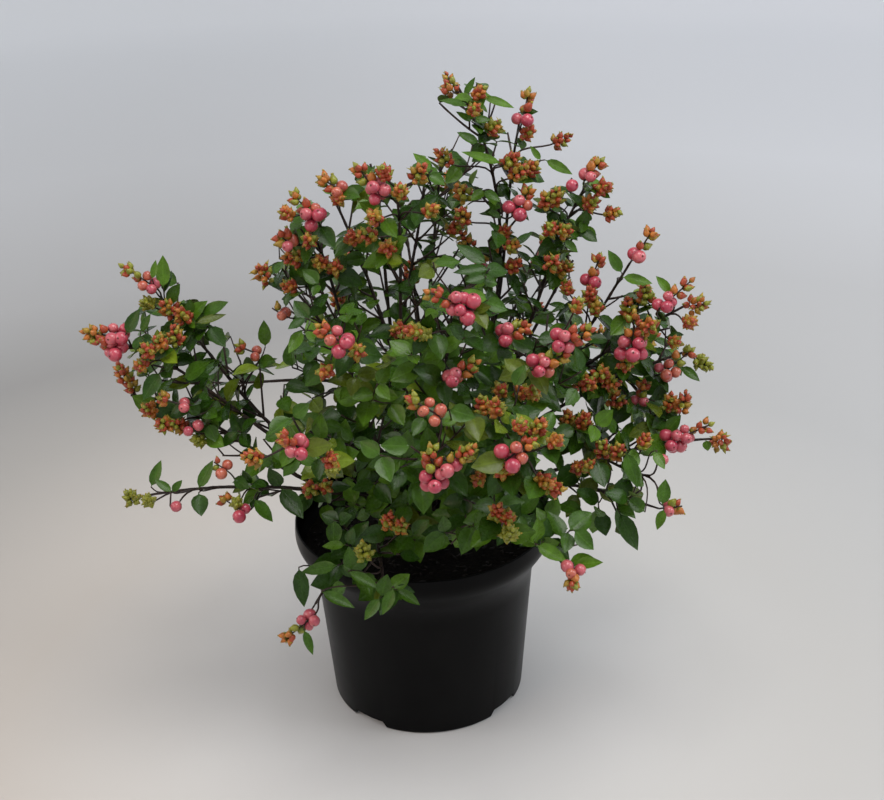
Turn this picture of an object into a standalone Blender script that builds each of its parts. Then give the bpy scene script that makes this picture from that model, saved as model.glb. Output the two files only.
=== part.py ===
"""Potted snowberry: a many-stemmed shrub with coral berries in a black nursery pot.

Blender 4.5, metres, +Z up. The origin is the centre of the pot's underside, and the front is -Y.
A short stem stands in the compost. Boughs leave it, each one tapering limb, and every bough
carries two or three masses of foliage, which grow by one seeded rule from a stem of their own.
Bearings are in degrees round the pot's axis, from the front (-Y) towards the right (+X).
"""

import math
import random
from collections import namedtuple

import bmesh
import bpy
import numpy as np
from mathutils.bvhtree import BVHTree

# The pot and its compost.
POT_HEIGHT = 0.202
RIM_RADIUS = 0.130
RIM_BULGE = 0.0015  # how far the collar's shoulder stands out past the rim
BASE_RADIUS = 0.0995
BASE_ROUNDING = 0.004
COLLAR_FOOT_RADIUS = 0.112
COLLAR_FOOT_HEIGHT = 0.154
COLLAR_SHOULDER_HEIGHT = 0.184
WALL = 0.002
FLOOR = 0.003
LIP_ROUNDING = 0.001
POT_SIDES = 60
NOTCH_BEARINGS = (-38, 52, 142, 232)
NOTCH_HEIGHT = 0.008
NOTCH_WIDTH = 0.046
NOTCH_TOP_WIDTH = 0.034
NOTCH_DEPTH = 0.016
COMPOST_TOP = 0.180
COMPOST_EDGE = 0.173
COMPOST_FLAT = 0.030
COMPOST_SIDES = 24
GAP = 0.0003

# The short stem that the boughs leave.
STEM_HEIGHT = 0.056
STEM_SIDES = 12
STEM_RINGS = (  # height above the compost, radius, depth of the root flare's lobes
    (0.000, 0.0185, 0.0035),
    (0.006, 0.0155, 0.0020),
    (0.016, 0.0130, 0.0006),
    (0.032, 0.0122, 0.0000),
    (0.048, 0.0128, 0.0000),
    (STEM_HEIGHT, 0.0115, 0.0000),
)
FLARE_LOBES = 4

# Limbs and twigs.
BOUGH_SIDES = 5
BOUGH_STEPS = 5
BOUGH_FOOT_RADIUS = 0.0032
BOUGH_TIP_RADIUS = 0.0024
HEAD_RING = 0.0080  # how far from the axis the outer boughs stand on the stem's top
TIER_HEIGHTS = {"centre": STEM_HEIGHT, "head": STEM_HEIGHT, "upper": 0.040, "lower": 0.022}
TIER_RADII = {"centre": 0.0, "head": HEAD_RING, "upper": STEM_RINGS[3][1], "lower": STEM_RINGS[3][1]}
START_LIFT = 15.0  # degrees by which a bough leaves the stem above its own line
TIP_SETTLE = 8.0  # degrees by which it ends below that line
FORK_OFFSET = 0.0021
MASS_STEM_RADIUS = (0.0017, 0.0011)
MASS_STEM_STEPS = 6
SHOOT_RADIUS = (0.0013, 0.0010)
TWIG_SIDES = 3
SHOOT_STEPS = 3
CURVE_POINTS = 41

# How a mass grows.
FORK_GAP = 0.060
FORK_FIRST, FORK_LAST = 0.07, 0.88
FORK_CHANCE = 0.86
SHOOT_LEAN = (36.0, 58.0)
SHOOT_LIFT = 0.22
SHOOT_SHRINK = 0.55
SPACE_MARGIN = 0.0012
LEAF_STRAY = 0.010  # how far a leaf's edge may pass out of its mass's space

# Leaves and fruit, larger than life because each leaf stands for several.
LEAF_LENGTH = 0.060
LEAF_SHAPE = 0.64
LEAF_WIDEST = 0.46
LEAF_ARCH = 0.055
LEAF_SHRINK = 0.3
LEAF_SPACING = 0.050
LEAF_TRIES = ((0, 1.0), (25, 1.0), (-25, 1.0), (12, 0.8), (-40, 0.8), (40, 0.7))  # degrees, size
LEAF_ROOT = 0.0003
PAIR_STEP = 0.0035  # the second leaf of a pair stands this much further along the twig
BERRY_RADIUS = 0.0068
BUD_RADIUS = 0.0052
BUD_LENGTH = 0.020
RIPE_SHARE = 0.3

Bough = namedtuple("Bough", "tier leaves_at bearing reach height")
BOUGHS = {
    "top": Bough("head", 50, 112, 0.055, 0.335),
    "upper_right": Bough("head", 108, 106, 0.075, 0.325),
    "back": Bough("head", 172, 176, 0.070, 0.315),
    "top_left": Bough("head", -122, -133, 0.022, 0.330),
    "top_front": Bough("centre", -20, -30, 0.022, 0.345),
    "upper_left": Bough("head", -52, -81, 0.045, 0.330),
    "front_left": Bough("upper", -36, -24, 0.075, 0.295),
    "front": Bough("upper", 5, 6, 0.080, 0.280),
    "front_right": Bough("upper", 44, 30, 0.085, 0.295),
    "right": Bough("upper", 86, 84, 0.100, 0.320),
    "back_right": Bough("upper", 135, 140, 0.090, 0.290),
    "back_left": Bough("upper", -150, -149, 0.085, 0.290),
    "left": Bough("upper", -86, -80, 0.100, 0.278),
    "left_low": Bough("lower", -62, -66, 0.095, 0.252),
    "low_left": Bough("lower", -14, -28, 0.080, 0.229),
    "low_right": Bough("lower", 34, 40, 0.085, 0.242),
    "right_out": Bough("lower", 74, 68, 0.100, 0.255),
    "right_mid": Bough("lower", 112, 90, 0.100, 0.290),
}

Mass = namedtuple("Mass", "bough bearing reach height tip_pitch side seed")
MASSES = {
    "crown_top": Mass("top", 127, 0.050, 0.640, 75, 0.075, 1),
    "crown_right": Mass("top", 115, 0.119, 0.613, 72, 0.075, 2),
    "upper_right": Mass("upper_right", 97, 0.177, 0.555, 50, 0.080, 3),
    "far_right": Mass("upper_right", 112, 0.214, 0.490, 30, 0.080, 4),
    "right_high": Mass("right", 85, 0.215, 0.497, 60, 0.075, 5),
    "right_shoulder": Mass("right", 79, 0.267, 0.450, 30, 0.080, 6),
    "right_out": Mass("right_out", 75, 0.302, 0.318, 4, 0.085, 7),
    "right_low": Mass("right_out", 66, 0.255, 0.256, -8, 0.070, 8),
    "right_edge": Mass("right_mid", 86, 0.282, 0.389, 15, 0.075, 34),
    "right_under": Mass("right_mid", 61, 0.236, 0.302, 0, 0.080, 35),
    "top_left": Mass("top_left", -112, 0.040, 0.566, 80, 0.075, 9),
    "centre_left": Mass("top_left", 165, 0.050, 0.552, 78, 0.075, 10),
    "high_left": Mass("top_front", -84, 0.078, 0.556, 66, 0.075, 36),
    "high_front": Mass("top_front", -10, 0.066, 0.560, 72, 0.075, 37),
    "upper_left": Mass("upper_left", -79, 0.104, 0.535, 60, 0.085, 11),
    "shoulder_left": Mass("upper_left", -102, 0.148, 0.460, 25, 0.085, 12),
    "left_high": Mass("left", -90, 0.266, 0.470, 40, 0.080, 13),
    "left_mid": Mass("left", -80, 0.300, 0.427, 12, 0.080, 14),
    "left_under": Mass("left_low", -83, 0.276, 0.360, 8, 0.080, 15),
    "left_low": Mass("left_low", -73, 0.288, 0.275, -4, 0.060, 16),
    "front_left": Mass("front_left", -28, 0.224, 0.388, 15, 0.085, 17),
    "front_high_left": Mass("front_left", -26, 0.164, 0.462, 45, 0.080, 18),
    "front_centre": Mass("front", 3, 0.248, 0.393, 15, 0.085, 19),
    "front_high": Mass("front", 13, 0.154, 0.492, 60, 0.080, 20),
    "front_right": Mass("front_right", 22, 0.236, 0.386, 15, 0.085, 21),
    "front_high_right": Mass("front_right", 46, 0.176, 0.448, 40, 0.085, 22),
    "left_drop": Mass("low_left", -36, 0.198, 0.167, -48, 0.045, 23),
    "front_low": Mass("low_left", -12, 0.180, 0.214, -25, 0.060, 24),
    "right_drop": Mass("low_right", 37, 0.227, 0.233, -38, 0.065, 25),
    "front_low_right": Mass("low_right", 17, 0.212, 0.300, -4, 0.070, 26),
    "back_crown": Mass("back", 164, 0.110, 0.560, 68, 0.080, 27),
    "back": Mass("back", -176, 0.204, 0.480, 35, 0.085, 28),
    "back_low": Mass("back", 174, 0.250, 0.352, 5, 0.080, 29),
    "back_left": Mass("back_left", -140, 0.232, 0.432, 30, 0.085, 30),
    "back_low_left": Mass("back_left", -117, 0.262, 0.302, 0, 0.080, 31),
    "back_right": Mass("back_right", 142, 0.240, 0.444, 30, 0.085, 32),
    "back_low_right": Mass("back_right", 116, 0.268, 0.316, 0, 0.080, 33),
}

# Colours: base colour, roughness.
PLASTIC = ("pot_plastic", (0.012, 0.012, 0.013), 0.42)
EARTH = ("compost", (0.022, 0.015, 0.010), 0.95)
BARK = ("bark", (0.060, 0.036, 0.028), 0.80)
FOLIAGE = ("foliage", (0.045, 0.120, 0.022), 0.45)

UP = np.array((0.0, 0.0, 1.0))
Shoot = namedtuple("Shoot", "points radii ripe")
Leaf = namedtuple("Leaf", "root along face length")


# Directions, places and curves.
def unit(vector):
    return np.asarray(vector, float) / np.linalg.norm(vector)


def heading(bearing, pitch):
    """The unit vector towards a bearing, raised by a pitch in degrees."""
    b, p = math.radians(bearing), math.radians(pitch)
    return np.array((math.sin(b) * math.cos(p), -math.cos(b) * math.cos(p), math.sin(p)))


def place(bearing, reach, height):
    return heading(bearing, 0) * reach + UP * height


def bearing_of(vector):
    return math.degrees(math.atan2(vector[0], -vector[1]))


def pitch_of(vector):
    return math.degrees(math.atan2(vector[2], math.hypot(vector[0], vector[1])))


def bezier(*controls, count=CURVE_POINTS):
    """Points along a Bezier curve with any number of control points."""
    share = np.linspace(0, 1, count)[:, None]
    layers = [np.repeat(np.asarray(c, float)[None], count, axis=0) for c in controls]
    while len(layers) > 1:
        layers = [a * (1 - share) + b * share for a, b in zip(layers, layers[1:])]
    return layers[0]


def length_of(points):
    return float(np.linalg.norm(np.diff(points, axis=0), axis=1).sum())


def at_share(points, share):
    """The point and the tangent at a share of the curve's length."""
    steps = np.linalg.norm(np.diff(points, axis=0), axis=1)
    run = np.concatenate([[0], np.cumsum(steps)])
    goal = share * run[-1]
    k = min(int(np.searchsorted(run, goal, side="right")) - 1, len(steps) - 1)
    point = points[k] + (points[k + 1] - points[k]) * ((goal - run[k]) / steps[k])
    return point, unit(points[k + 1] - points[k])


def spaced(points, count):
    return np.array([at_share(points, s)[0] for s in np.linspace(0, 1, count)])


def across(tangent, turn):
    """A unit vector square to the tangent, turned round it by degrees from the level one."""
    level = np.cross(tangent, UP)
    level = unit(level) if np.linalg.norm(level) > 1e-3 else np.array((1.0, 0.0, 0.0))
    other = np.cross(level, tangent)
    a = math.radians(turn)
    return level * math.cos(a) + other * math.sin(a)


# The limbs' lines.
def bough_line(bough):
    """From just clear of the short stem to the bough's tip."""
    tip = place(bough.bearing, bough.reach, bough.height)
    height = COMPOST_TOP + TIER_HEIGHTS[bough.tier]
    foot = place(bough.leaves_at, TIER_RADII[bough.tier], height)
    pitch = min(80.0, pitch_of(tip - foot) + START_LIFT)
    if bough.tier in ("centre", "head"):
        foot = foot + UP * (2 * GAP + BOUGH_FOOT_RADIUS * math.cos(math.radians(pitch)))
    else:
        clear = 2 * GAP + BOUGH_FOOT_RADIUS * math.sin(math.radians(pitch))
        foot = foot + heading(bough.leaves_at, 0) * clear
    chord = tip - foot
    start = heading(bough.leaves_at, pitch)
    end = heading(bearing_of(chord), pitch_of(chord) - TIP_SETTLE)
    size = np.linalg.norm(chord)
    return bezier(foot, foot + start * size * 0.35, tip - end * size * 0.35, tip)


def mass_line(name):
    """From the bough's tip to the mass's own tip. Masses that share a bough start side by side."""
    mass = MASSES[name]
    limb = BOUGH_LINES[mass.bough]
    ahead = unit(limb[-1] - limb[-2])
    tip = place(mass.bearing, mass.reach, mass.height)
    twins = [place(m.bearing, m.reach, m.height) for m in MASSES.values() if m.bough == mass.bough]
    apart = tip - np.mean(twins, axis=0)
    apart = unit(apart - ahead * apart.dot(ahead))
    foot = limb[-1] + ahead * GAP + apart * FORK_OFFSET
    size = np.linalg.norm(tip - foot)
    end = heading(mass.bearing, mass.tip_pitch)
    return bezier(foot, foot + ahead * size * 0.3, tip - end * size * 0.33, tip)


BOUGH_LINES = {name: bough_line(bough) for name, bough in BOUGHS.items()}
MASS_LINES = {name: mass_line(name) for name in MASSES}


# Each mass keeps to the space that is nearer its own line than any other mass's.
def space_margin(name, points):
    """How much nearer the points are to this mass's line than to any other, at the worst point."""
    points = np.atleast_2d(points)
    own, others = None, None
    for other, line in MASS_LINES.items():
        gaps = np.linalg.norm(points[:, None] - line[None], axis=2).min(axis=1)
        if other == name:
            own = gaps
        else:
            others = gaps if others is None else np.minimum(others, gaps)
    return float((others - own).min())


def in_pot(points):
    """Whether any point lies in the pot's wall or the compost, with a little room round them."""
    points = np.atleast_2d(points)
    radius = np.linalg.norm(points[:, :2], axis=1)
    wall = (radius < RIM_RADIUS + 0.006) & (radius > COLLAR_FOOT_RADIUS) & (points[:, 2] < POT_HEIGHT + 0.004)
    earth = (radius <= COLLAR_FOOT_RADIUS) & (points[:, 2] < COMPOST_TOP + 0.006)
    return bool((wall | earth).any())


def room_for(name, points, margin=SPACE_MARGIN):
    return space_margin(name, points) > margin and not in_pot(points)


def side_shoots(name):
    """The shoots that leave a mass's stem in pairs, each turned a quarter from the last."""
    mass = MASSES[name]
    rng = random.Random(mass.seed)
    line = MASS_LINES[name]
    forks = max(2, round(length_of(line) / FORK_GAP))
    turn = rng.uniform(0, 90)
    found = []
    for k in range(forks):
        share = FORK_FIRST + (FORK_LAST - FORK_FIRST) * (k + 0.5) / forks
        foot, tangent = at_share(line, share)
        turn += 90 + rng.uniform(-20, 20)
        for side in (0, 180):
            chance, lean = rng.random(), math.radians(rng.uniform(*SHOOT_LEAN))
            size = mass.side * (1 - SHOOT_SHRINK * share) * rng.uniform(0.8, 1.25)
            ripe = rng.random() < RIPE_SHARE
            if chance > FORK_CHANCE:
                continue
            way = tangent * math.cos(lean) + across(tangent, turn + side) * math.sin(lean)
            way = unit(way + UP * SHOOT_LIFT * math.cos(math.radians(mass.tip_pitch)))
            bend = UP * (0.16 if mass.tip_pitch > 0 else -0.10)
            for shorter in (1.0, 0.75, 0.5):
                reach = size * shorter
                points = bezier(foot, foot + way * reach * 0.5, foot + (way + bend) * reach, count=9)
                if room_for(name, points[2:]):
                    found.append((k, side, points, ripe))
                    break
    return found


def shoots_of(name):
    """The mass's own stem, then one side shoot of each pair, as tapering twigs."""
    line = spaced(MASS_LINES[name], MASS_STEM_STEPS)
    ripe = random.Random(MASSES[name].seed + 500).random() < RIPE_SHARE
    found = [Shoot(line, MASS_STEM_RADIUS, ripe)]
    taken = set()
    for k, side, points, ripe in side_shoots(name):
        if k in taken:
            continue
        taken.add(k)
        found.append(Shoot(spaced(points, SHOOT_STEPS), SHOOT_RADIUS, ripe))
    return found


def leaves_of(shoot, rng):
    """Leaf pairs along a shoot, each pair turned a quarter from the last, faces to the light.

    Every leaf comes as a list of itself and of turned or smaller ones for where it has no room.
    """
    size = length_of(shoot.points)
    pairs = max(1, round((size - BUD_LENGTH * 0.5) / LEAF_SPACING))
    turn = rng.uniform(0, 180)
    for k in range(pairs):
        share = (k + 0.6) / pairs * (1 - 0.5 * BUD_LENGTH / size)
        turn += 90 + rng.uniform(-15, 15)
        for side in (0, 180):
            root, tangent = at_share(shoot.points, share + (PAIR_STEP / size if side else 0))
            outward = unit(np.array((root[0], root[1], 0.03)))
            forward, sink = rng.uniform(0.35, 0.8), rng.uniform(-0.35, 0.05)
            length = LEAF_LENGTH * rng.uniform(0.85, 1.1) * (1 - LEAF_SHRINK * share)
            tilt = UP + outward * 0.8 + np.array([rng.uniform(-0.3, 0.3) for _ in range(3)])
            tries = []
            for swing, scale in LEAF_TRIES:
                along = unit(across(tangent, turn + side + swing) + tangent * forward)
                along = unit(along + UP * (sink if along[2] > -0.3 else 0.2))
                face = unit(tilt - along * tilt.dot(along))
                tries.append(Leaf(root - along * LEAF_ROOT, along, face, length * scale))
            yield tries


# Closed shapes, each as points and faces that point out.
def leaf_shape(leaf):
    """Four faces: the upper side falls away on both sides of the midrib from root to tip."""
    side = np.cross(leaf.along, leaf.face) * leaf.length * LEAF_SHAPE / 2
    middle = leaf.root + leaf.along * leaf.length * LEAF_WIDEST - leaf.face * leaf.length * LEAF_ARCH
    tip = leaf.root + leaf.along * leaf.length
    points = np.array((leaf.root, middle + side, tip, middle - side))
    return points, [(0, 1, 2), (0, 2, 3), (0, 3, 1), (1, 3, 2)]


def rings_along(points, radii, sides, phase=0.0):
    """Rings of a tapering limb, each set square to its line."""
    points = np.asarray(points)
    tangents = np.gradient(points, axis=0)
    level = across(unit(tangents[0]), phase)
    rings = []
    for point, tangent, width in zip(points, tangents, radii):
        tangent = unit(tangent)
        level = unit(level - tangent * level.dot(tangent))
        other = np.cross(tangent, level)
        angles = np.arange(sides) * 2 * math.pi / sides
        ring = level[None] * np.cos(angles)[:, None] + other[None] * np.sin(angles)[:, None]
        rings.append(point + ring * width)
    return rings


def tube_shape(points, radii, sides, phase=0.0):
    return skin(rings_along(points, np.linspace(radii[0], radii[1], len(points)), sides, phase))


def twig_shape(shoot, phase):
    """A twig that swells at its end into a pointed bud, or stays slim where a berry covers its end."""
    if shoot.ripe:
        return tube_shape(shoot.points, shoot.radii, TWIG_SIDES, phase)
    ahead = unit(shoot.points[-1] - shoot.points[-2])
    bud = [shoot.points[-1] - ahead * BUD_LENGTH * back for back in (1.0, 0.55, 0.0)]
    points = np.concatenate([shoot.points[:-1], bud])
    radii = np.linspace(shoot.radii[0], shoot.radii[1], len(shoot.points))
    widths = np.concatenate([radii, (BUD_RADIUS, 0.0004)])
    return skin(rings_along(points, widths, TWIG_SIDES, phase))


def skin(rings):
    """Faces between rings of equal count, and a flat face at each end."""
    sides, count = len(rings[0]), len(rings)
    faces = []
    for r in range(count - 1):
        for s in range(sides):
            a, b = r * sides + s, r * sides + (s + 1) % sides
            faces.append((a, b, b + sides, a + sides))
    faces.append(tuple(reversed(range(sides))))
    faces.append(tuple(range((count - 1) * sides, count * sides)))
    return np.concatenate(rings), faces


def berry_shape(centre, radius):
    """A twenty-faced ball."""
    ball = bmesh.new()
    bmesh.ops.create_icosphere(ball, subdivisions=1, radius=radius)
    points = np.array([v.co for v in ball.verts]) + centre
    faces = [tuple(v.index for v in f.verts) for f in ball.faces]
    ball.free()
    return points, faces


# Blender objects.
def material(name, colour, roughness):
    made = bpy.data.materials.get(name)
    if made is None:
        made = bpy.data.materials.new(name)
        made.use_nodes = True
        shader = made.node_tree.nodes["Principled BSDF"]
        shader.inputs["Base Color"].default_value = (*colour, 1.0)
        shader.inputs["Roughness"].default_value = roughness
        made.diffuse_color = (*colour, 1.0)
    return made


def solid(name, shape, finish, collection=None):
    points, faces = shape
    mesh = bpy.data.meshes.new(name)
    mesh.from_pydata([tuple(p) for p in points], [], faces)
    mesh.materials.append(material(*finish))
    made = bpy.data.objects.new(name, mesh)
    (collection or bpy.context.scene.collection).objects.link(made)
    return made


def turned(name, profile, sides, finish):
    """A body of revolution from (radius, height) points that start and end on the axis."""
    body = bmesh.new()
    verts = [body.verts.new((radius, 0.0, height)) for radius, height in profile]
    edges = [body.edges.new(pair) for pair in zip(verts, verts[1:])]
    bmesh.ops.spin(
        body, geom=verts + edges, cent=(0, 0, 0), axis=(0, 0, 1), angle=2 * math.pi, steps=sides, use_merge=True
    )
    bmesh.ops.remove_doubles(body, verts=body.verts, dist=1e-6)
    bmesh.ops.recalc_face_normals(body, faces=body.faces)
    mesh = bpy.data.meshes.new(name)
    body.to_mesh(mesh)
    body.free()
    mesh.materials.append(material(*finish))
    mesh.shade_smooth()
    mesh.set_sharp_from_angle(angle=math.radians(35))
    made = bpy.data.objects.new(name, mesh)
    bpy.context.scene.collection.objects.link(made)
    return made


def pot_wall(height):
    """The pot's outer radius at a height."""
    heights = (0.0, COLLAR_FOOT_HEIGHT, COLLAR_SHOULDER_HEIGHT, POT_HEIGHT)
    radii = (BASE_RADIUS, COLLAR_FOOT_RADIUS, RIM_RADIUS + RIM_BULGE, RIM_RADIUS)
    return float(np.interp(height, heights, radii))


def notch_cutter(bearing):
    """A wedge that cuts a drainage notch through the foot of the wall, wider below than above."""
    outward = heading(bearing, 0)
    side = np.cross(UP, outward)
    below = -0.002
    rings = []
    for radius in (BASE_RADIUS - NOTCH_DEPTH, BASE_RADIUS + 0.01):
        corners = ((-NOTCH_WIDTH / 2, below), (NOTCH_WIDTH / 2, below))
        corners += ((NOTCH_TOP_WIDTH / 2, NOTCH_HEIGHT), (-NOTCH_TOP_WIDTH / 2, NOTCH_HEIGHT))
        rings.append(np.array([outward * radius + side * across_ + UP * up for across_, up in corners]))
    cutter = solid(f"notch_cutter_{bearing}", skin(rings), PLASTIC)
    cutter.hide_render = True
    cutter.display_type = "WIRE"
    return cutter


def make_pot():
    """A thin-walled pot with a flared collar, a rounded lip and four drainage notches at its foot."""
    outside = [(0.0, 0.0), (BASE_RADIUS - BASE_ROUNDING, 0.0), (BASE_RADIUS, BASE_ROUNDING)]
    outside += [(pot_wall(h), h) for h in (COLLAR_FOOT_HEIGHT, COLLAR_SHOULDER_HEIGHT)]
    outside += [(RIM_RADIUS, POT_HEIGHT - LIP_ROUNDING), (RIM_RADIUS - LIP_ROUNDING, POT_HEIGHT)]
    inside = [(RIM_RADIUS - WALL, POT_HEIGHT - LIP_ROUNDING)]
    inside += [(pot_wall(h) - WALL, h) for h in (COLLAR_SHOULDER_HEIGHT, COLLAR_FOOT_HEIGHT)]
    inside += [(BASE_RADIUS - WALL, FLOOR), (0.0, FLOOR)]
    pot = turned("pot", outside + inside, POT_SIDES, PLASTIC)
    for bearing in NOTCH_BEARINGS:
        cut = pot.modifiers.new(f"notch_{bearing}", "BOOLEAN")
        cut.operation = "DIFFERENCE"
        cut.object = notch_cutter(bearing)
    return pot


def make_compost():
    """The root ball, clear of the wall, flat in the middle and a little lower at the edge."""
    profile = [(0.0, FLOOR + GAP), (BASE_RADIUS - WALL - 2 * GAP, FLOOR + GAP)]
    profile += [(COLLAR_FOOT_RADIUS - WALL - 2 * GAP, COLLAR_FOOT_HEIGHT)]
    profile += [(pot_wall(COMPOST_EDGE) - WALL - 3 * GAP, COMPOST_EDGE)]
    profile += [(COMPOST_FLAT, COMPOST_TOP), (0.0, COMPOST_TOP)]
    return turned("compost", profile, COMPOST_SIDES, EARTH)


def make_stem():
    """The short stem, from a flat cut on the compost, with its root flare, to its head."""
    rings = []
    for height, radius, lobe in STEM_RINGS:
        angles = np.arange(STEM_SIDES) * 2 * math.pi / STEM_SIDES
        width = radius + lobe * np.cos(FLARE_LOBES * angles)
        ring = np.stack([width * np.cos(angles), width * np.sin(angles), np.zeros(STEM_SIDES)], axis=1)
        rings.append(ring + UP * (COMPOST_TOP + GAP + height))
    return solid("stem", skin(rings), BARK)


def make_bough(name):
    radii = (BOUGH_FOOT_RADIUS, BOUGH_TIP_RADIUS)
    shape = tube_shape(spaced(BOUGH_LINES[name], BOUGH_STEPS), radii, BOUGH_SIDES)
    return solid(f"bough_{name}", shape, BARK)


def tree_of(shapes):
    """A search tree over closed shapes, to find what a new piece would touch."""
    points, faces, first = [], [], 0
    for shape_points, shape_faces in shapes:
        points += [tuple(p) for p in shape_points]
        faces += [tuple(first + i for i in f) for f in shape_faces]
        first = len(points)
    return BVHTree.FromPolygons(points, faces) if faces else None


def touches(tree, shape):
    return bool(tree and tree.overlap(tree_of([shape])))


def swollen(leaf):
    """The leaf a little larger, so that what this one clears the leaf clears by some room."""
    return leaf._replace(length=leaf.length * 1.04, root=leaf.root - leaf.along * 0.0004)


def mass_shapes(name, taken):
    """The closed shapes that fuse to one mass: twigs, fruit and the leaves that fit."""
    rng = random.Random(MASSES[name].seed + 1000)
    twigs, fruit, leaves, kept = [], [], [], []
    for k, shoot in enumerate(shoots_of(name)):
        twig = twig_shape(shoot, rng.uniform(0, 120))
        berry = [berry_shape(shoot.points[-1], BERRY_RADIUS)] if shoot.ripe else []
        if k and any(touches(taken, shape) for shape in [twig] + berry):
            continue
        twigs.append(twig)
        fruit += berry
        kept.append(shoot)
    for shoot in kept:
        for tries in leaves_of(shoot, rng):
            for leaf in tries:
                blade = leaf_shape(leaf)
                if not room_for(name, blade[0][1:], -LEAF_STRAY) or touches(taken, leaf_shape(swollen(leaf))):
                    continue
                if not touches(tree_of(leaves + fruit), blade):
                    leaves.append(blade)
                    break
    return twigs, fruit + leaves


def keep_outer_body(mesh):
    """Drops loose scraps and the walls of sealed hollows; tells whether one closed body is left."""
    body = bmesh.new()
    body.from_mesh(mesh)
    left, islands = set(body.faces), []
    while left:
        island, edge = set(), [left.pop()]
        while edge:
            face = edge.pop()
            island.add(face)
            near = {f for e in face.edges for f in e.link_faces} & left
            left -= near
            edge += near
        islands.append(island)
    islands.sort(key=lambda island: -len(island))
    loose = [face for island in islands[1:] for face in island]
    bmesh.ops.delete(body, geom=loose, context="FACES")
    closed = all(len(e.link_faces) == 2 for e in body.edges)
    body.to_mesh(mesh)
    body.free()
    return closed


def fused(name, twigs, pieces, solver):
    """One Boolean union of the mass's own stem with a collection of all its other shapes."""
    mass = solid(f"foliage_{name}", twigs[0], FOLIAGE)
    parts = bpy.data.collections.new(f"pieces_{name}")
    for k, shape in enumerate(twigs[1:] + pieces):
        solid(f"piece_{name}_{k}", shape, FOLIAGE, parts)
    bpy.context.scene.collection.children.link(parts)
    union = mass.modifiers.new("fuse", "BOOLEAN")
    union.operation = "UNION"
    union.operand_type = "COLLECTION"
    union.collection = parts
    union.solver = solver
    graph = bpy.context.evaluated_depsgraph_get()
    mesh = bpy.data.meshes.new_from_object(mass.evaluated_get(graph))
    mass.modifiers.clear()
    mass.data = mesh
    for piece in list(parts.objects):
        bpy.data.objects.remove(piece)
    bpy.data.collections.remove(parts)
    return mass


def make_mass(name, taken):
    """Fuses the mass, and leaves out its last leaves where neither solver gives one closed body."""
    twigs, pieces = mass_shapes(name, taken)
    for spared in range(4):
        kept = pieces[: len(pieces) - spared]
        for solver in ("EXACT", "MANIFOLD"):
            mass = fused(name, twigs, kept, solver)
            if keep_outer_body(mass.data):
                return mass
            bpy.data.objects.remove(mass)
    raise RuntimeError(f"{name} does not fuse")


def shape_of(made):
    mesh = made.data
    return [tuple(v.co) for v in mesh.vertices], [tuple(p.vertices) for p in mesh.polygons]


def main():
    for old in list(bpy.data.objects):
        bpy.data.objects.remove(old)
    rigid = [make_pot(), make_compost(), make_stem()]
    rigid += [make_bough(name) for name in BOUGHS]
    shapes = [shape_of(made) for made in rigid]
    for name, line in MASS_LINES.items():
        shapes.append(tube_shape(spaced(line, MASS_STEM_STEPS), MASS_STEM_RADIUS, TWIG_SIDES))
    for k, name in enumerate(MASSES):
        others = shapes[: len(rigid) + k] + shapes[len(rigid) + k + 1 :]
        mass = make_mass(name, tree_of(others))
        shapes[len(rigid) + k] = shape_of(mass)


main()
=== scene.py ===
"""The looks of the potted snowberry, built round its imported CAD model.

Metres, +Z up, in the CAD's frame: the origin is the centre of the pot's underside, the front is -Y.
Bearings are degrees from the front towards +X, pitches are degrees above level. The boughs and the
masses' own stems lie where the CAD has them. From them the shrub grows on by the same rule to finer
twigs, with leaves in pairs, and ends in spikes of berries and heads of buds.
"""

import math
import random
from collections import namedtuple

import bpy
import numpy as np
from mathutils import Matrix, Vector
from mathutils.bvhtree import BVHTree


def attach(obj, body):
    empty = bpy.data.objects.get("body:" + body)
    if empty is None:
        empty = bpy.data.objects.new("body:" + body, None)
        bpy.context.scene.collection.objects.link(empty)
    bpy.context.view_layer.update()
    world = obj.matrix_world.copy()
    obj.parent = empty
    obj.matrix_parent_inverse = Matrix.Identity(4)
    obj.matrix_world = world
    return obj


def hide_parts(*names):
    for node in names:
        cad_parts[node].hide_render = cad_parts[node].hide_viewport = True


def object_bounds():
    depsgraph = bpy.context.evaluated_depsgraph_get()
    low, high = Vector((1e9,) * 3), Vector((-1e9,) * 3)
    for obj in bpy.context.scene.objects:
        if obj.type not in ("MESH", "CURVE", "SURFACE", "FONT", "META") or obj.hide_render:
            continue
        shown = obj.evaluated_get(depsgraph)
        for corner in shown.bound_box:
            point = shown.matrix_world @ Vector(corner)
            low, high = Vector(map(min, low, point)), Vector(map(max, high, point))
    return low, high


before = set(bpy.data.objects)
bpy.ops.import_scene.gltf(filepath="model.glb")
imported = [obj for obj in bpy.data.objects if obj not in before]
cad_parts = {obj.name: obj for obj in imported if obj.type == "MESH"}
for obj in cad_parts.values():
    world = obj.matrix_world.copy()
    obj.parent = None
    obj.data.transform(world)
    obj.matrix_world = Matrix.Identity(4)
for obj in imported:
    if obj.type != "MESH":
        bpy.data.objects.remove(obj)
CAD_LOW, CAD_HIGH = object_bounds()
BODY = "root"
UP = np.array((0.0, 0.0, 1.0))

# The camera, from the photograph's view of the pot.
IMAGE_WIDTH, IMAGE_HEIGHT = 884, 800
FOCAL_PIXELS = 1500.0
SENSOR_MM = 36.0
CLIP = (0.01, 50.0)
CAMERA_AT = np.array((0.0227, -1.3256, 0.9736))
CAMERA_FALL = 25.93  # degrees below level
CAMERA_ROLL = -1.64

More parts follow.
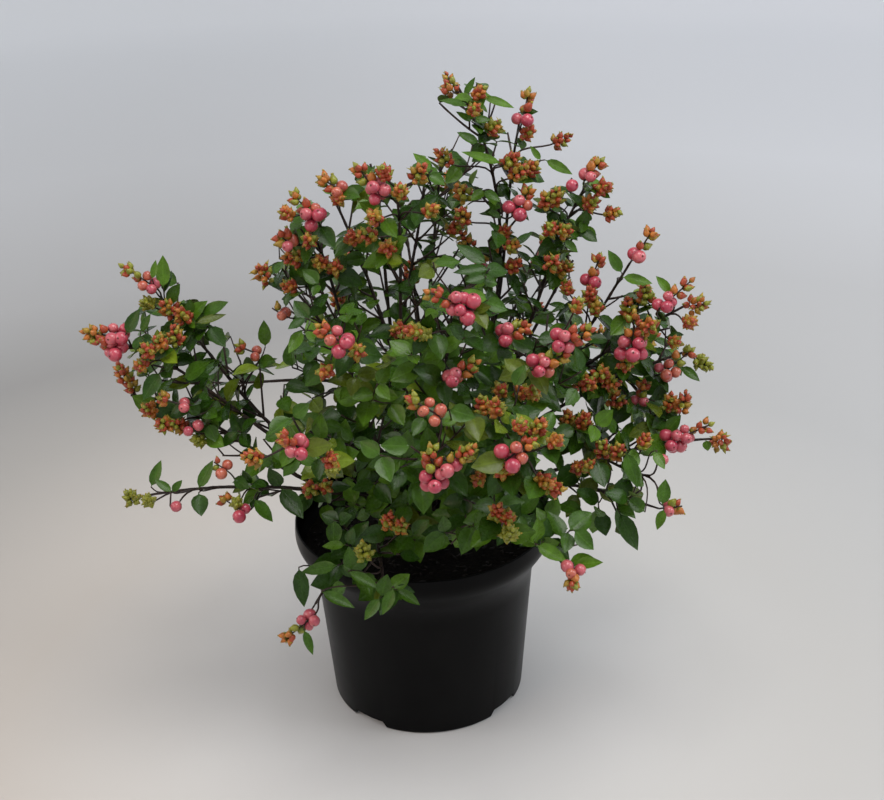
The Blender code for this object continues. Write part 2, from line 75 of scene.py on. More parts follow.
# The pot and its compost, as in the CAD.
POT_HEIGHT = 0.202
RIM_RADIUS = 0.130
RIM_BULGE = 0.0015
BASE_RADIUS = 0.0995
POT_ROUNDINGS = (0.0032, 0.016, 0.010, 0.0014, 0.0014, 0.010, 0.016, 0.003)  # of its profile's corners
POT_SIDES = 192
COLLAR_FOOT_RADIUS = 0.112
COLLAR_FOOT_HEIGHT = 0.154
COLLAR_SHOULDER_HEIGHT = 0.184
WALL = 0.002
FLOOR = 0.003
NOTCH_BEARINGS = (-38, 52, 142, 232)
NOTCH_HEIGHT = 0.008
NOTCH_WIDTH = 0.046
NOTCH_TOP_WIDTH = 0.034
NOTCH_DEPTH = 0.016
NOTCH_BELOW = 0.002  # how far the block that cuts a notch starts below the ground
NOTCH_PAST = 0.01  # and how far it stands out past the pot's foot
COMPOST_TOP = 0.180
COMPOST_EDGE = 0.173
COMPOST_FLAT = 0.030
GAP = 0.0003

# The finer shapes of the compost.
COMPOST_SIDES, COMPOST_ROWS = 120, 30
COMPOST_NOTCH = 0.0022  # room between the compost and the pot's notches
HEAP_RELIEF = 0.0022
HEAP_CALM = 0.006  # width of the rim where the relief dies out
CHIPS = 420
CHIPS_FROM = 0.022  # radius of the middle without chips
CHIP_LENGTH, CHIP_WIDTH = (0.004, 0.012), (0.002, 0.005)

# The short stem and the boughs, as in the CAD.
STEM_HEIGHT = 0.056
STEM_RINGS = (  # height above the compost, radius, depth of the root flare's lobes
    (0.000, 0.0185, 0.0035),
    (0.006, 0.0155, 0.0020),
    (0.016, 0.0130, 0.0006),
    (0.032, 0.0122, 0.0000),
    (0.048, 0.0128, 0.0000),
    (STEM_HEIGHT, 0.0115, 0.0000),
)
FLARE_LOBES = 4
BOUGH_FOOT_RADIUS = 0.0032
HEAD_RING = 0.0080
TIER_HEIGHTS = {"centre": STEM_HEIGHT, "head": STEM_HEIGHT, "upper": 0.040, "lower": 0.022}
TIER_RADII = {"centre": 0.0, "head": HEAD_RING, "upper": STEM_RINGS[3][1], "lower": STEM_RINGS[3][1]}
START_LIFT = 15.0
STEEPEST = 80.0
TIP_SETTLE = 8.0
BOUGH_HANDLE = 0.35  # of its curve, in its length
STEM_HANDLES = (0.3, 0.33)
FORK_OFFSET = 0.0021
CURVE_POINTS = 41

# How a mass grows: the CAD's rule, then its finer twigs.
FORK_GAP = 0.060
FORK_FIRST, FORK_LAST = 0.07, 0.88  # shares of the stem
FORK_CHANCE = 0.86
FORK_TURN = 20.0  # degrees by which a pair may be off its quarter turn
TWIG_TURN = 25.0
SHOOT_LEAN = (36.0, 58.0)
SHOOT_LIFT = 0.22
SHOOT_SHRINK = 0.55
SHOOT_SIZES = (0.8, 1.25)
SHOOT_BENDS = (0.16, -0.10)  # at its tip, on a rising and on a hanging stem
SHOOT_POINTS = 9
SHORTER = (1.0, 0.75, 0.5)  # the lengths that a shoot tries
SPACE_MARGIN = 0.0012
RIPE_SHARE = 0.3
BETWEEN_CHANCE = 0.85  # of a shorter shoot between two forks of the stem
BETWEEN_SIZE = 0.62
FINE_GAP = 0.021
FINE_FIRST, FINE_LAST = 0.7, 0.85  # the first one, in gaps, and the last one's share of its shoot
FINE_CHANCE = 0.62
FINE_LENGTH = (0.016, 0.034)
POT_ROOM = 0.006  # kept clear round the collar and over the compost
RIM_ROOM = 0.004  # and over the rim
BOX_MARGIN = 0.013  # how far growth may pass the CAD's box
TIP_MARGIN = -0.007  # and the middle of a head of fruit
BOUGH_BARE = 0.16  # share of a bough without shoots
BOUGH_GAP = 0.019
BOUGH_CHANCE = 0.80
BOUGH_LENGTH = (0.030, 0.052)
BOUGH_LIFTS = (0.15, 0.1)
BACK_LONGER = 1.5  # of the shoots of the boughs behind, which have no low masses before them
BETWEEN_SEED, SEEN_SEED, GROW_SEED, LEAF_SEED, FRUIT_SEED, CHIP_SEED, WAVE_SEED = 2000, 71, 72, 73, 74, 6, 5

# Radii of the visible wood, and where its leaves start.
BOUGH_WOOD = (BOUGH_FOOT_RADIUS, 0.0024)
STEM_WOOD = (0.0021, 0.0011)
SHOOT_WOOD = (0.0012, 0.0008)
FINE_WOOD = (0.0009, 0.0006)
TIP_WOOD = (0.0010, 0.0007)
STEM_LEAVES, SHOOT_LEAVES, BOUGH_LEAVES = 0.30, 0.15, 0.25
FINE_LEAVES, TIP_LEAVES, SEEN_LEAVES = 0.3, 0.3, 0.35

# Leaves.
LEAF_LENGTH = 0.0335
LEAF_LENGTHS = (0.78, 1.14)
LEAF_RATIO = 0.62  # width to length
LEAF_RATIOS = (0.9, 1.12)
LEAF_THICK = 0.00022
LEAF_SPACING = 0.0210
LEAF_SHRINK = 0.25
LEAF_LAST = {"leaves": 0.985, "fruit": 0.85, "seen": 0.85}  # share of the twig at its last pair
LEAF_FORWARD, LEAF_SINK = (0.30, 0.80), (-0.62, 0.0)
LEAF_OUTWARD, LEAF_TILT = 0.85, 0.4
LEAF_FOLD, LEAF_DROOP = (0.08, 0.34), (0.02, 0.22)
LEAF_HANGS = -0.3  # rise of a leaf below which it is lifted and not sunk
LEAF_WAVE = 0.04
HIGH_SHRINK = 0.20  # of leaves over this range of heights
HIGH_RANGE = (0.36, 0.56)
PAIR_STEP = 0.0015
CUT_PAST = 0.025  # share of a twig past its last leaf
LIGHT_SIDE = np.array((0.05, -0.40, 0.0))  # the window to which the plant has turned its leaves
LEAF_ROWS = (  # share of the length, share of the half width
    (0.00, 0.05),
    (0.07, 0.10),
    (0.17, 0.68),
    (0.33, 0.99),
    (0.52, 0.99),
    (0.71, 0.76),
    (0.87, 0.37),
)
LEAF_COLUMNS = (-1.0, -0.55, 0.0, 0.55, 1.0)
LEAF_SWINGS = ((0, 1.0), (28, 1.0), (-28, 1.0), (14, 0.85), (-50, 0.85), (50, 0.75))  # degrees, size
OUTLINE_FACES = ((0, 1, 4), (1, 2, 4), (2, 3, 4), (3, 0, 4))
TINTS = {  # upper side, under side, share of the sprays
    "deep": ((0.022, 0.062, 0.0045), (0.070, 0.120, 0.020), 0.38),
    "mid": ((0.040, 0.098, 0.0065), (0.095, 0.155, 0.028), 0.35),
    "fresh": ((0.072, 0.155, 0.010), (0.120, 0.190, 0.032), 0.19),
    "olive": ((0.078, 0.108, 0.008), (0.115, 0.145, 0.026), 0.06),
    "lime": ((0.150, 0.215, 0.014), (0.160, 0.215, 0.036), 0.02),
}

# Fruit.
BERRY_RADIUS = 0.0066
SMALL_BERRY = 0.0036
BERRY_STEP = 0.0092  # between the rings of a spike
BERRY_SIDES, BERRY_RINGS = 14, 9
RING_SPREADS = {2: 0.94, 3: 1.12, 4: 1.38}  # of a ring of berries, in their radius
UNRIPE_FROM = 0.45  # share of a spike past which its fruit is small and pointed
UNRIPE_LATER = 0.10  # and how much later that is in a thick spike
ROSE_FROM, PINK_FROM = 0.84, 0.68  # ripeness
SPIKE_FOOT, SPIKE_RUN = 0.08, 0.70  # of a spike's rings, in its length
RIPE_FALL = 0.56  # of the ripeness along a spike
TUFT_FROM = 0.016  # size of a spike that ends in a tuft of buds
TUFT_BUDS = 5
TUFT_SPREAD = 0.0046
BUD_RADIUS = 0.0031
BUD_SIDES, BUD_RINGS = 8, 6
BUD_HEAD_SIZE = 0.022
HEAD_FULLNESS = 0.84  # share of a head's seen size that its fruit fills, without the points
HEAD_RINGS = (  # share along the head, spread, how many fruits, their size
    (0.12, 0.27, 5, 1.0),
    (0.42, 0.25, 5, 1.0),
    (0.70, 0.16, 4, 0.85),
    (0.92, 0.04, 1, 0.75),
)
MOSS_CHANCE = 0.20
BUD_CHOICES = ("rust", "rust", "rust", "amber", "amber", "gold")
BRACT_CHANCE = 0.30
BRACT_WIDTH = 0.0042
BERRY_TINTS = {
    "rose": (0.460, 0.048, 0.080),
    "pink": (0.520, 0.095, 0.115),
    "coral": (0.500, 0.115, 0.068),
}
BUD_TINTS = {  # its cheek and its foot
    "rust": ((0.340, 0.055, 0.020), (0.270, 0.120, 0.020)),
    "amber": ((0.400, 0.130, 0.020), (0.230, 0.190, 0.022)),
    "gold": ((0.330, 0.200, 0.022), (0.190, 0.210, 0.024)),
    "moss": ((0.220, 0.230, 0.022), (0.150, 0.200, 0.022)),
}

# Fruit at the tips that the camera doesn't see in the open.
HIDDEN_DEPTH = 0.045  # how far behind the middle fruit grows by the rule alone, behind two masses
FAR_DEPTH = 0.085  # and behind one
REAR_DEPTH = 0.120  # and behind the leaves alone
HEAD_CORNERS = np.array([(x, 0.0, z) for x in (-0.02, 0.02) for z in (-0.005, 0.03)])
HEAD_REACH, HEAD_PAST = 0.036, 0.004  # of a head past its tip, and past the CAD's box
HEAD_CHANCE = 0.62
BEFORE_STEPS = np.arange(0.06, 0.5, 0.02)[:, None]
BEFORE_GAP = 0.040

# How a seen thing finds its place on its line of sight, and its twig the stem.
SIGHT_STEPS = np.arange(0.95, 1.95, 0.004)[:, None]
OUTER_LEFT, OUTER_RIGHT = 132, 694  # pixels past which the outermost tips lie
OUTER_SHELL = 0.010  # how far from its mass's stem such a tip may be
SPIKE_SHELL, HEAD_SHELL, LEAF_SHELL = (0.034, 0.048), (0.034, 0.050), (0.036, 0.050)
SPIKE_TILT, LEAF_SEEN_TILT = (-0.1, 0.3), (-0.2, 0.5)  # towards the camera
SEEN_FOLD, SEEN_DROOP = (0.10, 0.25), (0.0, 0.06)
SPIKE_CLEAR, HEAD_CLEAR, REAR_CLEAR = 0.22, 0.20, 0.03  # length of the way out kept free of leaves
TIP_FORWARD, TIP_FORWARD_COST = 0.6, 0.05
TIP_HANDLES = (0.4, 0.35)
TIP_STRAIGHT, LEAF_STRAIGHT = 1.3, 2.5
OPENING_SHARE = 0.3  # the most of a twig's length that may cross an opening
VIEW_MARGIN = 0.5  # pixels by which a leaf may pass an opening's edge
VIEW_PULL = 0.12  # how far a leaf's corners are drawn in before they are held to the crown's outline

# The studio.
SWEEP_FLOOR = 3.2
SWEEP_BEND = 1.2
SWEEP_TOP = 2.3
SWEEP_RINGS = (0.4, 0.8, 1.6, 2.4)
SWEEP_SIDES = 96
# The paper's tone is painted light and shade. Next to the pot it is lighter, a painted pool of light where
# the shrub's shadow falls. About a metre out there is a painted shadow band, deeper on the left. Low on the
# left there is painted warm light, and far off there is painted cool, bluish light.
PAPER_REACH = 4.0  # metres over which the paper's tone changes
PAPER_DRIFT = 0.012
PAPER_LEFT_PAINTED_SHADING = (
    (0.000, (0.75, 0.745, 0.74)),
    (0.050, (0.72, 0.710, 0.70)),
    (0.110, (0.560, 0.520, 0.480)),
    (0.190, (0.405, 0.388, 0.368)),
    (0.245, (0.340, 0.333, 0.327)),
    (0.320, (0.46, 0.458, 0.46)),
    (0.500, (0.64, 0.645, 0.66)),
    (0.850, (0.85, 0.865, 0.89)),
)
PAPER_RIGHT_PAINTED_SHADING = (
    (0.000, (0.75, 0.745, 0.74)),
    (0.050, (0.665, 0.660, 0.655)),
    (0.075, (0.580, 0.574, 0.563)),
    (0.110, (0.555, 0.548, 0.535)),
    (0.200, (0.51, 0.510, 0.510)),
    (0.320, (0.575, 0.578, 0.587)),
    (0.500, (0.770, 0.782, 0.810)),
    (0.850, (0.93, 0.945, 0.98)),
)
PAPER_TURN = 0.7  # metres either side of the middle over which one passes into the other
SKY = (0.95, 0.97, 1.0)
SKY_STRENGTH = 0.51
LIGHTS = (  # name, place, what it points at, size, watts, colour
    ("overhead", (0.35, -0.45, 2.5), (0, 0, 0.3), 1.3, 30.5, (1.0, 0.99, 0.97)),
    ("right", (2.6, -0.4, 1.9), (0, 0, 0.3), 1.4, 25.0, (0.97, 0.98, 1.0)),
    ("left", (-2.6, -0.4, 1.8), (0, 0, 0.3), 1.3, 14.0, (1.0, 0.97, 0.93)),
    ("low_left", (-1.15, -1.0, 0.85), (-0.65, -0.35, 0), 0.7, 3.0, (1.0, 0.70, 0.48)),
)

# The boughs and masses, as in the CAD.
Bough = namedtuple("Bough", "tier leaves_at bearing reach height")
BOUGHS = {
    "top": Bough("head", 50, 112, 0.055, 0.335),
    "upper_right": Bough("head", 108, 106, 0.075, 0.325),
    "back": Bough("head", 172, 176, 0.070, 0.315),
    "top_left": Bough("head", -122, -133, 0.022, 0.330),
    "top_front": Bough("centre", -20, -30, 0.022, 0.345),
    "upper_left": Bough("head", -52, -81, 0.045, 0.330),
    "front_left": Bough("upper", -36, -24, 0.075, 0.295),
    "front": Bough("upper", 5, 6, 0.080, 0.280),
    "front_right": Bough("upper", 44, 30, 0.085, 0.295),
    "right": Bough("upper", 86, 84, 0.100, 0.320),
    "back_right": Bough("upper", 135, 140, 0.090, 0.290),
    "back_left": Bough("upper", -150, -149, 0.085, 0.290),
    "left": Bough("upper", -86, -80, 0.100, 0.278),
    "left_low": Bough("lower", -62, -66, 0.095, 0.252),
    "low_left": Bough("lower", -14, -28, 0.080, 0.229),
    "low_right": Bough("lower", 34, 40, 0.085, 0.242),
    "right_out": Bough("lower", 74, 68, 0.100, 0.255),
    "right_mid": Bough("lower", 112, 90, 0.100, 0.290),
}

Mass = namedtuple("Mass", "bough bearing reach height tip_pitch side seed")
MASSES = {
    "crown_top": Mass("top", 127, 0.050, 0.640, 75, 0.075, 1),
    "crown_right": Mass("top", 115, 0.119, 0.613, 72, 0.075, 2),
    "upper_right": Mass("upper_right", 97, 0.177, 0.555, 50, 0.080, 3),
    "far_right": Mass("upper_right", 112, 0.214, 0.490, 30, 0.080, 4),
    "right_high": Mass("right", 85, 0.215, 0.497, 60, 0.075, 5),
    "right_shoulder": Mass("right", 79, 0.267, 0.450, 30, 0.080, 6),
    "right_out": Mass("right_out", 75, 0.302, 0.318, 4, 0.085, 7),
    "right_low": Mass("right_out", 66, 0.255, 0.256, -8, 0.070, 8),
    "right_edge": Mass("right_mid", 86, 0.282, 0.389, 15, 0.075, 34),
    "right_under": Mass("right_mid", 61, 0.236, 0.302, 0, 0.080, 35),
    "top_left": Mass("top_left", -112, 0.040, 0.566, 80, 0.075, 9),
    "centre_left": Mass("top_left", 165, 0.050, 0.552, 78, 0.075, 10),
    "high_left": Mass("top_front", -84, 0.078, 0.556, 66, 0.075, 36),
    "high_front": Mass("top_front", -10, 0.066, 0.560, 72, 0.075, 37),
    "upper_left": Mass("upper_left", -79, 0.104, 0.535, 60, 0.085, 11),
    "shoulder_left": Mass("upper_left", -102, 0.148, 0.460, 25, 0.085, 12),
    "left_high": Mass("left", -90, 0.266, 0.470, 40, 0.080, 13),
    "left_mid": Mass("left", -80, 0.300, 0.427, 12, 0.080, 14),
    "left_under": Mass("left_low", -83, 0.276, 0.360, 8, 0.080, 15),
    "left_low": Mass("left_low", -73, 0.288, 0.275, -4, 0.060, 16),
    "front_left": Mass("front_left", -28, 0.224, 0.388, 15, 0.085, 17),
    "front_high_left": Mass("front_left", -26, 0.164, 0.462, 45, 0.080, 18),
    "front_centre": Mass("front", 3, 0.248, 0.393, 15, 0.085, 19),
    "front_high": Mass("front", 13, 0.154, 0.492, 60, 0.080, 20),
    "front_right": Mass("front_right", 22, 0.236, 0.386, 15, 0.085, 21),
    "front_high_right": Mass("front_right", 46, 0.176, 0.448, 40, 0.085, 22),
    "left_drop": Mass("low_left", -36, 0.198, 0.167, -48, 0.045, 23),
    "front_low": Mass("low_left", -12, 0.180, 0.214, -25, 0.060, 24),
    "right_drop": Mass("low_right", 37, 0.227, 0.233, -38, 0.065, 25),
    "front_low_right": Mass("low_right", 17, 0.212, 0.300, -4, 0.070, 26),
    "back_crown": Mass("back", 164, 0.110, 0.560, 68, 0.080, 27),
    "back": Mass("back", -176, 0.204, 0.480, 35, 0.085, 28),
    "back_low": Mass("back", 174, 0.250, 0.352, 5, 0.080, 29),
    "back_left": Mass("back_left", -140, 0.232, 0.432, 30, 0.085, 30),
    "back_low_left": Mass("back_left", -117, 0.262, 0.302, 0, 0.080, 31),
    "back_right": Mass("back_right", 142, 0.240, 0.444, 30, 0.085, 32),
    "back_low_right": Mass("back_right", 116, 0.268, 0.316, 0, 0.080, 33),
}
TIP_LEANS = {"crown_top": (-90, 56)}  # bearing and pitch with which a stem's tip leans in the photograph

# What faces the photograph's camera, by its pixels.
SPIKES_SEEN = (  # of berries: base, tip, how many and how ripe
    ((126, 338), (84, 332), 16, 1.0), ((120, 352), (92, 336), 8, 1.0), ((155, 287), (122, 266), 7, 0.7),
    ((318, 220), (292, 194), 10, 0.95), ((291, 244), (277, 234), 5, 0.7),
    ((382, 196), (356, 166), 9, 0.9), ((341, 190), (320, 178), 5, 0.6), ((346, 346), (318, 326), 9, 0.95),
    ((474, 310), (427, 292), 9, 1.0), ((448, 380), (478, 362), 8, 0.9), ((440, 416), (408, 398), 9, 0.55),
    ((436, 488), (430, 446), 10, 1.0), ((452, 470), (444, 456), 3, 0.9),
    ((303, 450), (280, 436), 7, 0.95), ((522, 122), (529, 90), 6, 0.9), ((514, 214), (530, 188), 9, 0.95),
    ((502, 210), (500, 200), 1, 1.0), ((568, 184), (572, 178), 1, 1.0), ((586, 178), (602, 160), 6, 0.75),
    ((590, 284), (600, 256), 6, 0.85), ((636, 256), (652, 231), 6, 0.85),
    ((660, 308), (692, 280), 8, 0.95), ((556, 344), (592, 330), 9, 0.9),
    ((632, 356), (634, 312), 13, 1.0), ((662, 374), (692, 350), 9, 0.75),
    ((640, 402), (644, 382), 5, 0.7), ((668, 444), (710, 424), 9, 1.0),
    ((534, 370), (568, 352), 11, 0.85), ((500, 336), (528, 326), 7, 0.8),
    ((506, 460), (534, 440), 9, 0.95), ((226, 470), (214, 462), 4, 0.7), ((244, 512), (222, 498), 3, 0.9),
    ((170, 508), (171, 492), 1, 0.8), ((186, 406), (160, 398), 4, 0.7), ((194, 430), (188, 420), 2, 0.8),
    ((258, 354), (238, 346), 4, 0.6), ((284, 316), (272, 308), 3, 0.6), ((314, 616), (284, 640), 7, 0.85),
    ((574, 566), (572, 588), 7, 0.85), ((667, 508), (682, 506), 5, 0.75),
    ((658, 462), (656, 450), 1, 0.8),
)
HEADS_SEEN = (  # of small fruit: middle, size
    (450, 84, 30), (480, 92, 20), (475, 109, 18), (495, 127, 24), (528, 132, 20), (562, 140, 24),
    (512, 160, 26), (520, 172, 28), (532, 168, 24), (443, 157, 26), (420, 173, 30), (400, 191, 24),
    (384, 172, 22), (338, 198, 20), (462, 192, 30), (432, 210, 22), (462, 215, 26), (455, 228, 22),
    (465, 240, 26), (373, 217, 26), (352, 237, 24), (366, 235, 26), (386, 248, 28), (286, 213, 20),
    (308, 240, 24), (292, 258, 28), (320, 262, 26), (335, 267, 26), (262, 273, 34), (288, 286, 20),
    (398, 330, 26), (412, 331, 24), (358, 352, 26), (324, 372, 24), (505, 232, 22), (513, 246, 22),
    (551, 229, 24), (565, 230, 22), (515, 265, 24), (553, 262, 28), (565, 268, 24), (567, 287, 18),
    (590, 294, 26), (596, 307, 22), (578, 305, 18), (592, 203, 26), (604, 187, 26), (546, 200, 26),
    (556, 196, 26), (613, 213, 22), (645, 293, 28), (628, 306, 26), (650, 326, 30), (698, 305, 32),
    (690, 322, 20), (628, 362, 30), (588, 383, 28), (602, 374, 30), (612, 384, 26), (617, 400, 28),
    (670, 402, 24), (683, 402, 28), (568, 419, 24), (584, 420, 24), (721, 441, 32), (603, 448, 26),
    (618, 451, 24), (645, 441, 20), (578, 468, 24), (591, 466, 24), (503, 472, 26), (545, 482, 26),
    (556, 488, 26), (539, 427, 28), (483, 404, 24), (496, 407, 24), (500, 390, 24), (522, 392, 26),
    (534, 392, 26), (468, 452, 26), (332, 460, 26), (310, 488, 26), (326, 486, 22), (389, 520, 24),
    (401, 526, 22), (497, 511, 26), (508, 516, 22), (168, 308, 30), (182, 315, 28), (160, 342, 26),
    (175, 335, 28), (147, 350, 24), (122, 372, 24), (131, 384, 22), (140, 366, 20), (148, 409, 24),
    (163, 424, 26), (178, 425, 26), (252, 458, 26), (556, 440, 22), (640, 340, 20), (676, 342, 18),
    (520, 425, 20), (478, 480, 20),
)
GREEN_HEADS_SEEN = (
    (147, 303, 20), (198, 440, 20), (130, 497, 24), (510, 533, 28), (363, 551, 28), (424, 334, 18),
    (704, 364, 24), (236, 503, 16), (148, 500, 16), (332, 470, 18),
)
LEAVES_SEEN = (  # that stand alone: base, tip, width, tint
    ((163, 288), (163, 255), 14, "fresh"), ((152, 279), (156, 260), 7, "fresh"),
    ((166, 304), (181, 284), 14, "mid"), ((190, 314), (190, 299), 10, "mid"),
    ((200, 314), (229, 302), 14, "mid"), ((196, 323), (226, 314), 9, "olive"),
    ((208, 326), (226, 347), 16, "deep"), ((265, 347), (264, 320), 13, "fresh"),
    ((125, 334), (140, 309), 13, "deep"), ((140, 332), (151, 314), 8, "mid"),
    ((160, 372), (143, 400), 17, "deep"), ((182, 378), (211, 362), 18, "mid"),
    ((121, 342), (117, 358), 11, "mid"), ((200, 414), (188, 404), 13, "mid"),
    ((208, 424), (216, 442), 14, "mid"), ((238, 431), (219, 448), 11, "deep"),
    ((151, 487), (161, 460), 11, "mid"), ((172, 492), (154, 479), 9, "mid"),
    ((172, 492), (182, 480), 8, "mid"), ((198, 489), (213, 460), 12, "mid"),
    ((198, 493), (202, 516), 17, "deep"), ((254, 499), (273, 522), 13, "mid"),
    ((280, 488), (304, 518), 19, "deep"), ((302, 330), (289, 353), 13, "fresh"),
    ((305, 318), (288, 329), 10, "deep"), ((432, 170), (413, 153), 10, "fresh"),
    ((466, 103), (440, 101), 8, "mid"), ((464, 96), (475, 77), 7, "mid"),
    ((484, 95), (514, 109), 9, "fresh"), ((472, 121), (456, 112), 7, "mid"),
    ((474, 119), (491, 120), 9, "mid"), ((479, 143), (457, 132), 10, "mid"),
    ((519, 112), (538, 112), 9, "deep"), ((545, 160), (573, 174), 11, "fresh"),
    ((541, 160), (530, 146), 7, "fresh"), ((582, 230), (597, 242), 12, "deep"),
    ((600, 192), (610, 198), 7, "mid"), ((564, 240), (578, 252), 9, "mid"),
    ((487, 264), (456, 244), 15, "deep"), ((490, 268), (453, 272), 12, "deep"),
    ((433, 262), (461, 262), 11, "mid"), ((486, 276), (466, 282), 14, "deep"),
    ((488, 300), (462, 290), 13, "fresh"), ((502, 162), (462, 152), 10, "fresh"),
    ((484, 190), (500, 202), 10, "mid"), ((622, 277), (653, 283), 12, "fresh"),
    ((622, 273), (608, 250), 12, "mid"), ((671, 293), (656, 276), 10, "fresh"),
    ((682, 366), (699, 381), 10, "mid"), ((662, 505), (666, 479), 14, "mid"),
    ((664, 509), (657, 530), 10, "fresh"), ((620, 513), (637, 550), 18, "deep"),
    ((600, 512), (606, 536), 17, "deep"), ((645, 512), (628, 497), 15, "mid"),
    ((574, 565), (602, 561), 13, "fresh"), ((574, 530), (594, 550), 18, "mid"),
    ((536, 545), (567, 561), 15, "fresh"), ((655, 451), (664, 469), 11, "fresh"),
    ((626, 452), (638, 488), 15, "mid"), ((597, 461), (604, 487), 20, "deep"),
    ((600, 503), (576, 489), 17, "deep"), ((630, 500), (605, 492), 17, "deep"),
    ((667, 433), (680, 415), 14, "mid"), ((655, 401), (667, 383), 13, "deep"),
    ((299, 567), (304, 608), 16, "deep"), ((304, 630), (313, 655), 9, "mid"),
    ((321, 592), (355, 607), 12, "mid"), ((338, 565), (300, 572), 14, "mid"),
    ((380, 598), (364, 620), 12, "mid"), ((394, 588), (382, 615), 12, "mid"),
    ((397, 590), (420, 604), 11, "mid"), ((706, 440), (708, 451), 9, "fresh"),
    ((348, 572), (380, 588), 12, "mid"), ((345, 545), (322, 546), 10, "fresh"),
    ((334, 520), (334, 547), 16, "mid"),
)

# Where the photograph has leaves at all, clockwise, and where it shows sky or the dark pot between them.
CROWN_OUTLINE = (
    (438, 104), (443, 68), (460, 71), (478, 75), (491, 84), (494, 100), (484, 106), (492, 116),
    (488, 122), (500, 116), (507, 128), (514, 142), (520, 134), (528, 125), (538, 130), (538, 140),
    (524, 148), (526, 158), (541, 170), (546, 183), (558, 180), (568, 190), (578, 188), (584, 176),
    (600, 178), (611, 188), (608, 200), (596, 210), (590, 222), (599, 232), (597, 243), (586, 241),
    (568, 240), (578, 252), (571, 262), (570, 280), (577, 286), (566, 298), (588, 292), (609, 296),
    (604, 312), (600, 318), (612, 314), (620, 296), (634, 286), (650, 284), (660, 294), (665, 310),
    (676, 322), (683, 330), (683, 342), (694, 350), (692, 362), (699, 380), (684, 374), (670, 380),
    (671, 392), (664, 402), (686, 413), (684, 430), (664, 452), (665, 470), (650, 456), (640, 458),
    (643, 490), (645, 512), (634, 514), (641, 532), (637, 550), (622, 542), (615, 522), (616, 533),
    (604, 536), (599, 526), (597, 545), (590, 552), (601, 561), (588, 567), (570, 567), (562, 558),
    (540, 552), (528, 545), (514, 551), (500, 546), (480, 545), (469, 561), (456, 562), (450, 548),
    (432, 552), (424, 570), (408, 570), (420, 604), (396, 603), (386, 616), (364, 620), (352, 610),
    (322, 596), (318, 584), (304, 606), (291, 572), (300, 564), (330, 562), (322, 548), (323, 518),
    (310, 508), (298, 518), (284, 506), (280, 492), (270, 500), (258, 498), (250, 512), (236, 500),
    (230, 488), (232, 474), (248, 468), (240, 456), (228, 448), (218, 448), (206, 446), (194, 447),
    (186, 436), (170, 436), (160, 430), (155, 418), (142, 412), (131, 406), (130, 392), (118, 384),
    (114, 372), (122, 363), (114, 352), (126, 342), (134, 338), (124, 328), (128, 312), (138, 300),
    (150, 296), (162, 300), (152, 280), (153, 262), (164, 254), (170, 270), (184, 284), (190, 299),
    (204, 301), (228, 300), (228, 314), (214, 322), (230, 334), (226, 348), (238, 352), (248, 358),
    (260, 362), (268, 353), (287, 356), (288, 338), (300, 330), (288, 326), (290, 314), (281, 300),
    (284, 290), (262, 288), (254, 276), (264, 264), (288, 262), (286, 250), (278, 240), (284, 230),
    (292, 226), (281, 214), (286, 206), (300, 198), (318, 200), (322, 190), (338, 182), (350, 190),
    (352, 168), (372, 163), (391, 166), (392, 181), (410, 186), (406, 172), (418, 160), (413, 152),
    (430, 157), (436, 150), (450, 148), (460, 155), (476, 148), (462, 138), (456, 131), (474, 134),
    (470, 122), (456, 112), (468, 108),
)
OPENINGS = (  # middle, half width, half height
    (418, 192, 10, 7), (420, 231, 6, 8), (411, 251, 8, 12), (446, 246, 9, 9), (446, 276, 13, 8),
    (404, 273, 4, 7), (421, 287, 7, 8), (418, 312, 8, 7), (444, 319, 5, 6), (466, 325, 4, 8),
    (470, 261, 5, 4), (482, 232, 9, 17), (480, 207, 7, 6), (482, 183, 6, 5), (492, 178, 5, 14),
    (503, 150, 6, 8), (510, 218, 6, 5), (537, 222, 8, 8), (508, 252, 7, 9), (535, 243, 6, 7),
    (488, 262, 3, 6), (502, 286, 5, 10), (533, 288, 7, 12), (552, 297, 9, 6), (540, 330, 9, 6),
    (333, 205, 6, 5), (340, 222, 8, 9), (348, 210, 5, 8), (388, 214, 5, 7), (395, 205, 6, 4),
    (300, 287, 7, 5), (330, 287, 8, 6), (333, 305, 8, 7), (353, 275, 4, 6), (385, 275, 6, 7),
    (372, 282, 4, 5), (387, 303, 6, 6), (375, 312, 6, 4), (392, 320, 7, 4), (408, 303, 6, 3),
    (285, 374, 7, 7), (270, 385, 8, 12), (299, 398, 6, 6), (374, 388, 3, 5), (400, 384, 5, 3),
    (349, 412, 4, 3), (596, 352, 5, 6), (198, 350, 5, 5), (255, 395, 5, 6), (213, 395, 5, 5),
    (190, 387, 4, 5), (224, 427, 6, 5), (268, 415, 6, 8), (262, 432, 5, 5), (262, 447, 6, 8),
    (266, 471, 4, 5), (577, 307, 4, 4), (592, 315, 5, 4), (683, 304, 5, 5), (668, 331, 4, 5),
    (610, 421, 4, 3), (625, 427, 3, 4), (629, 388, 3, 5), (634, 446, 5, 4), (568, 460, 3, 6),
    (616, 462, 7, 7), (611, 478, 8, 6), (590, 478, 8, 3), (570, 480, 3, 4), (566, 494, 7, 6),
    (587, 508, 4, 9), (562, 517, 4, 5), (612, 506, 9, 3), (612, 517, 5, 4), (556, 537, 4, 4),
    (578, 549, 8, 4), (310, 532, 10, 20), (440, 572, 30, 9), (500, 565, 34, 10), (560, 180, 8, 5),
    (575, 212, 6, 7), (500, 120, 7, 9), (515, 135, 3, 6), (365, 330, 3, 5), (212, 353, 5, 9),
    (153, 321, 7, 5), (457, 278, 9, 6), (498, 172, 4, 8), (281, 386, 6, 5), (600, 486, 6, 4),
    (343, 580, 7, 4), (372, 607, 4, 6), (395, 610, 7, 5), (388, 566, 17, 6), (178, 372, 5, 4),
    (236, 362, 4, 5),
)
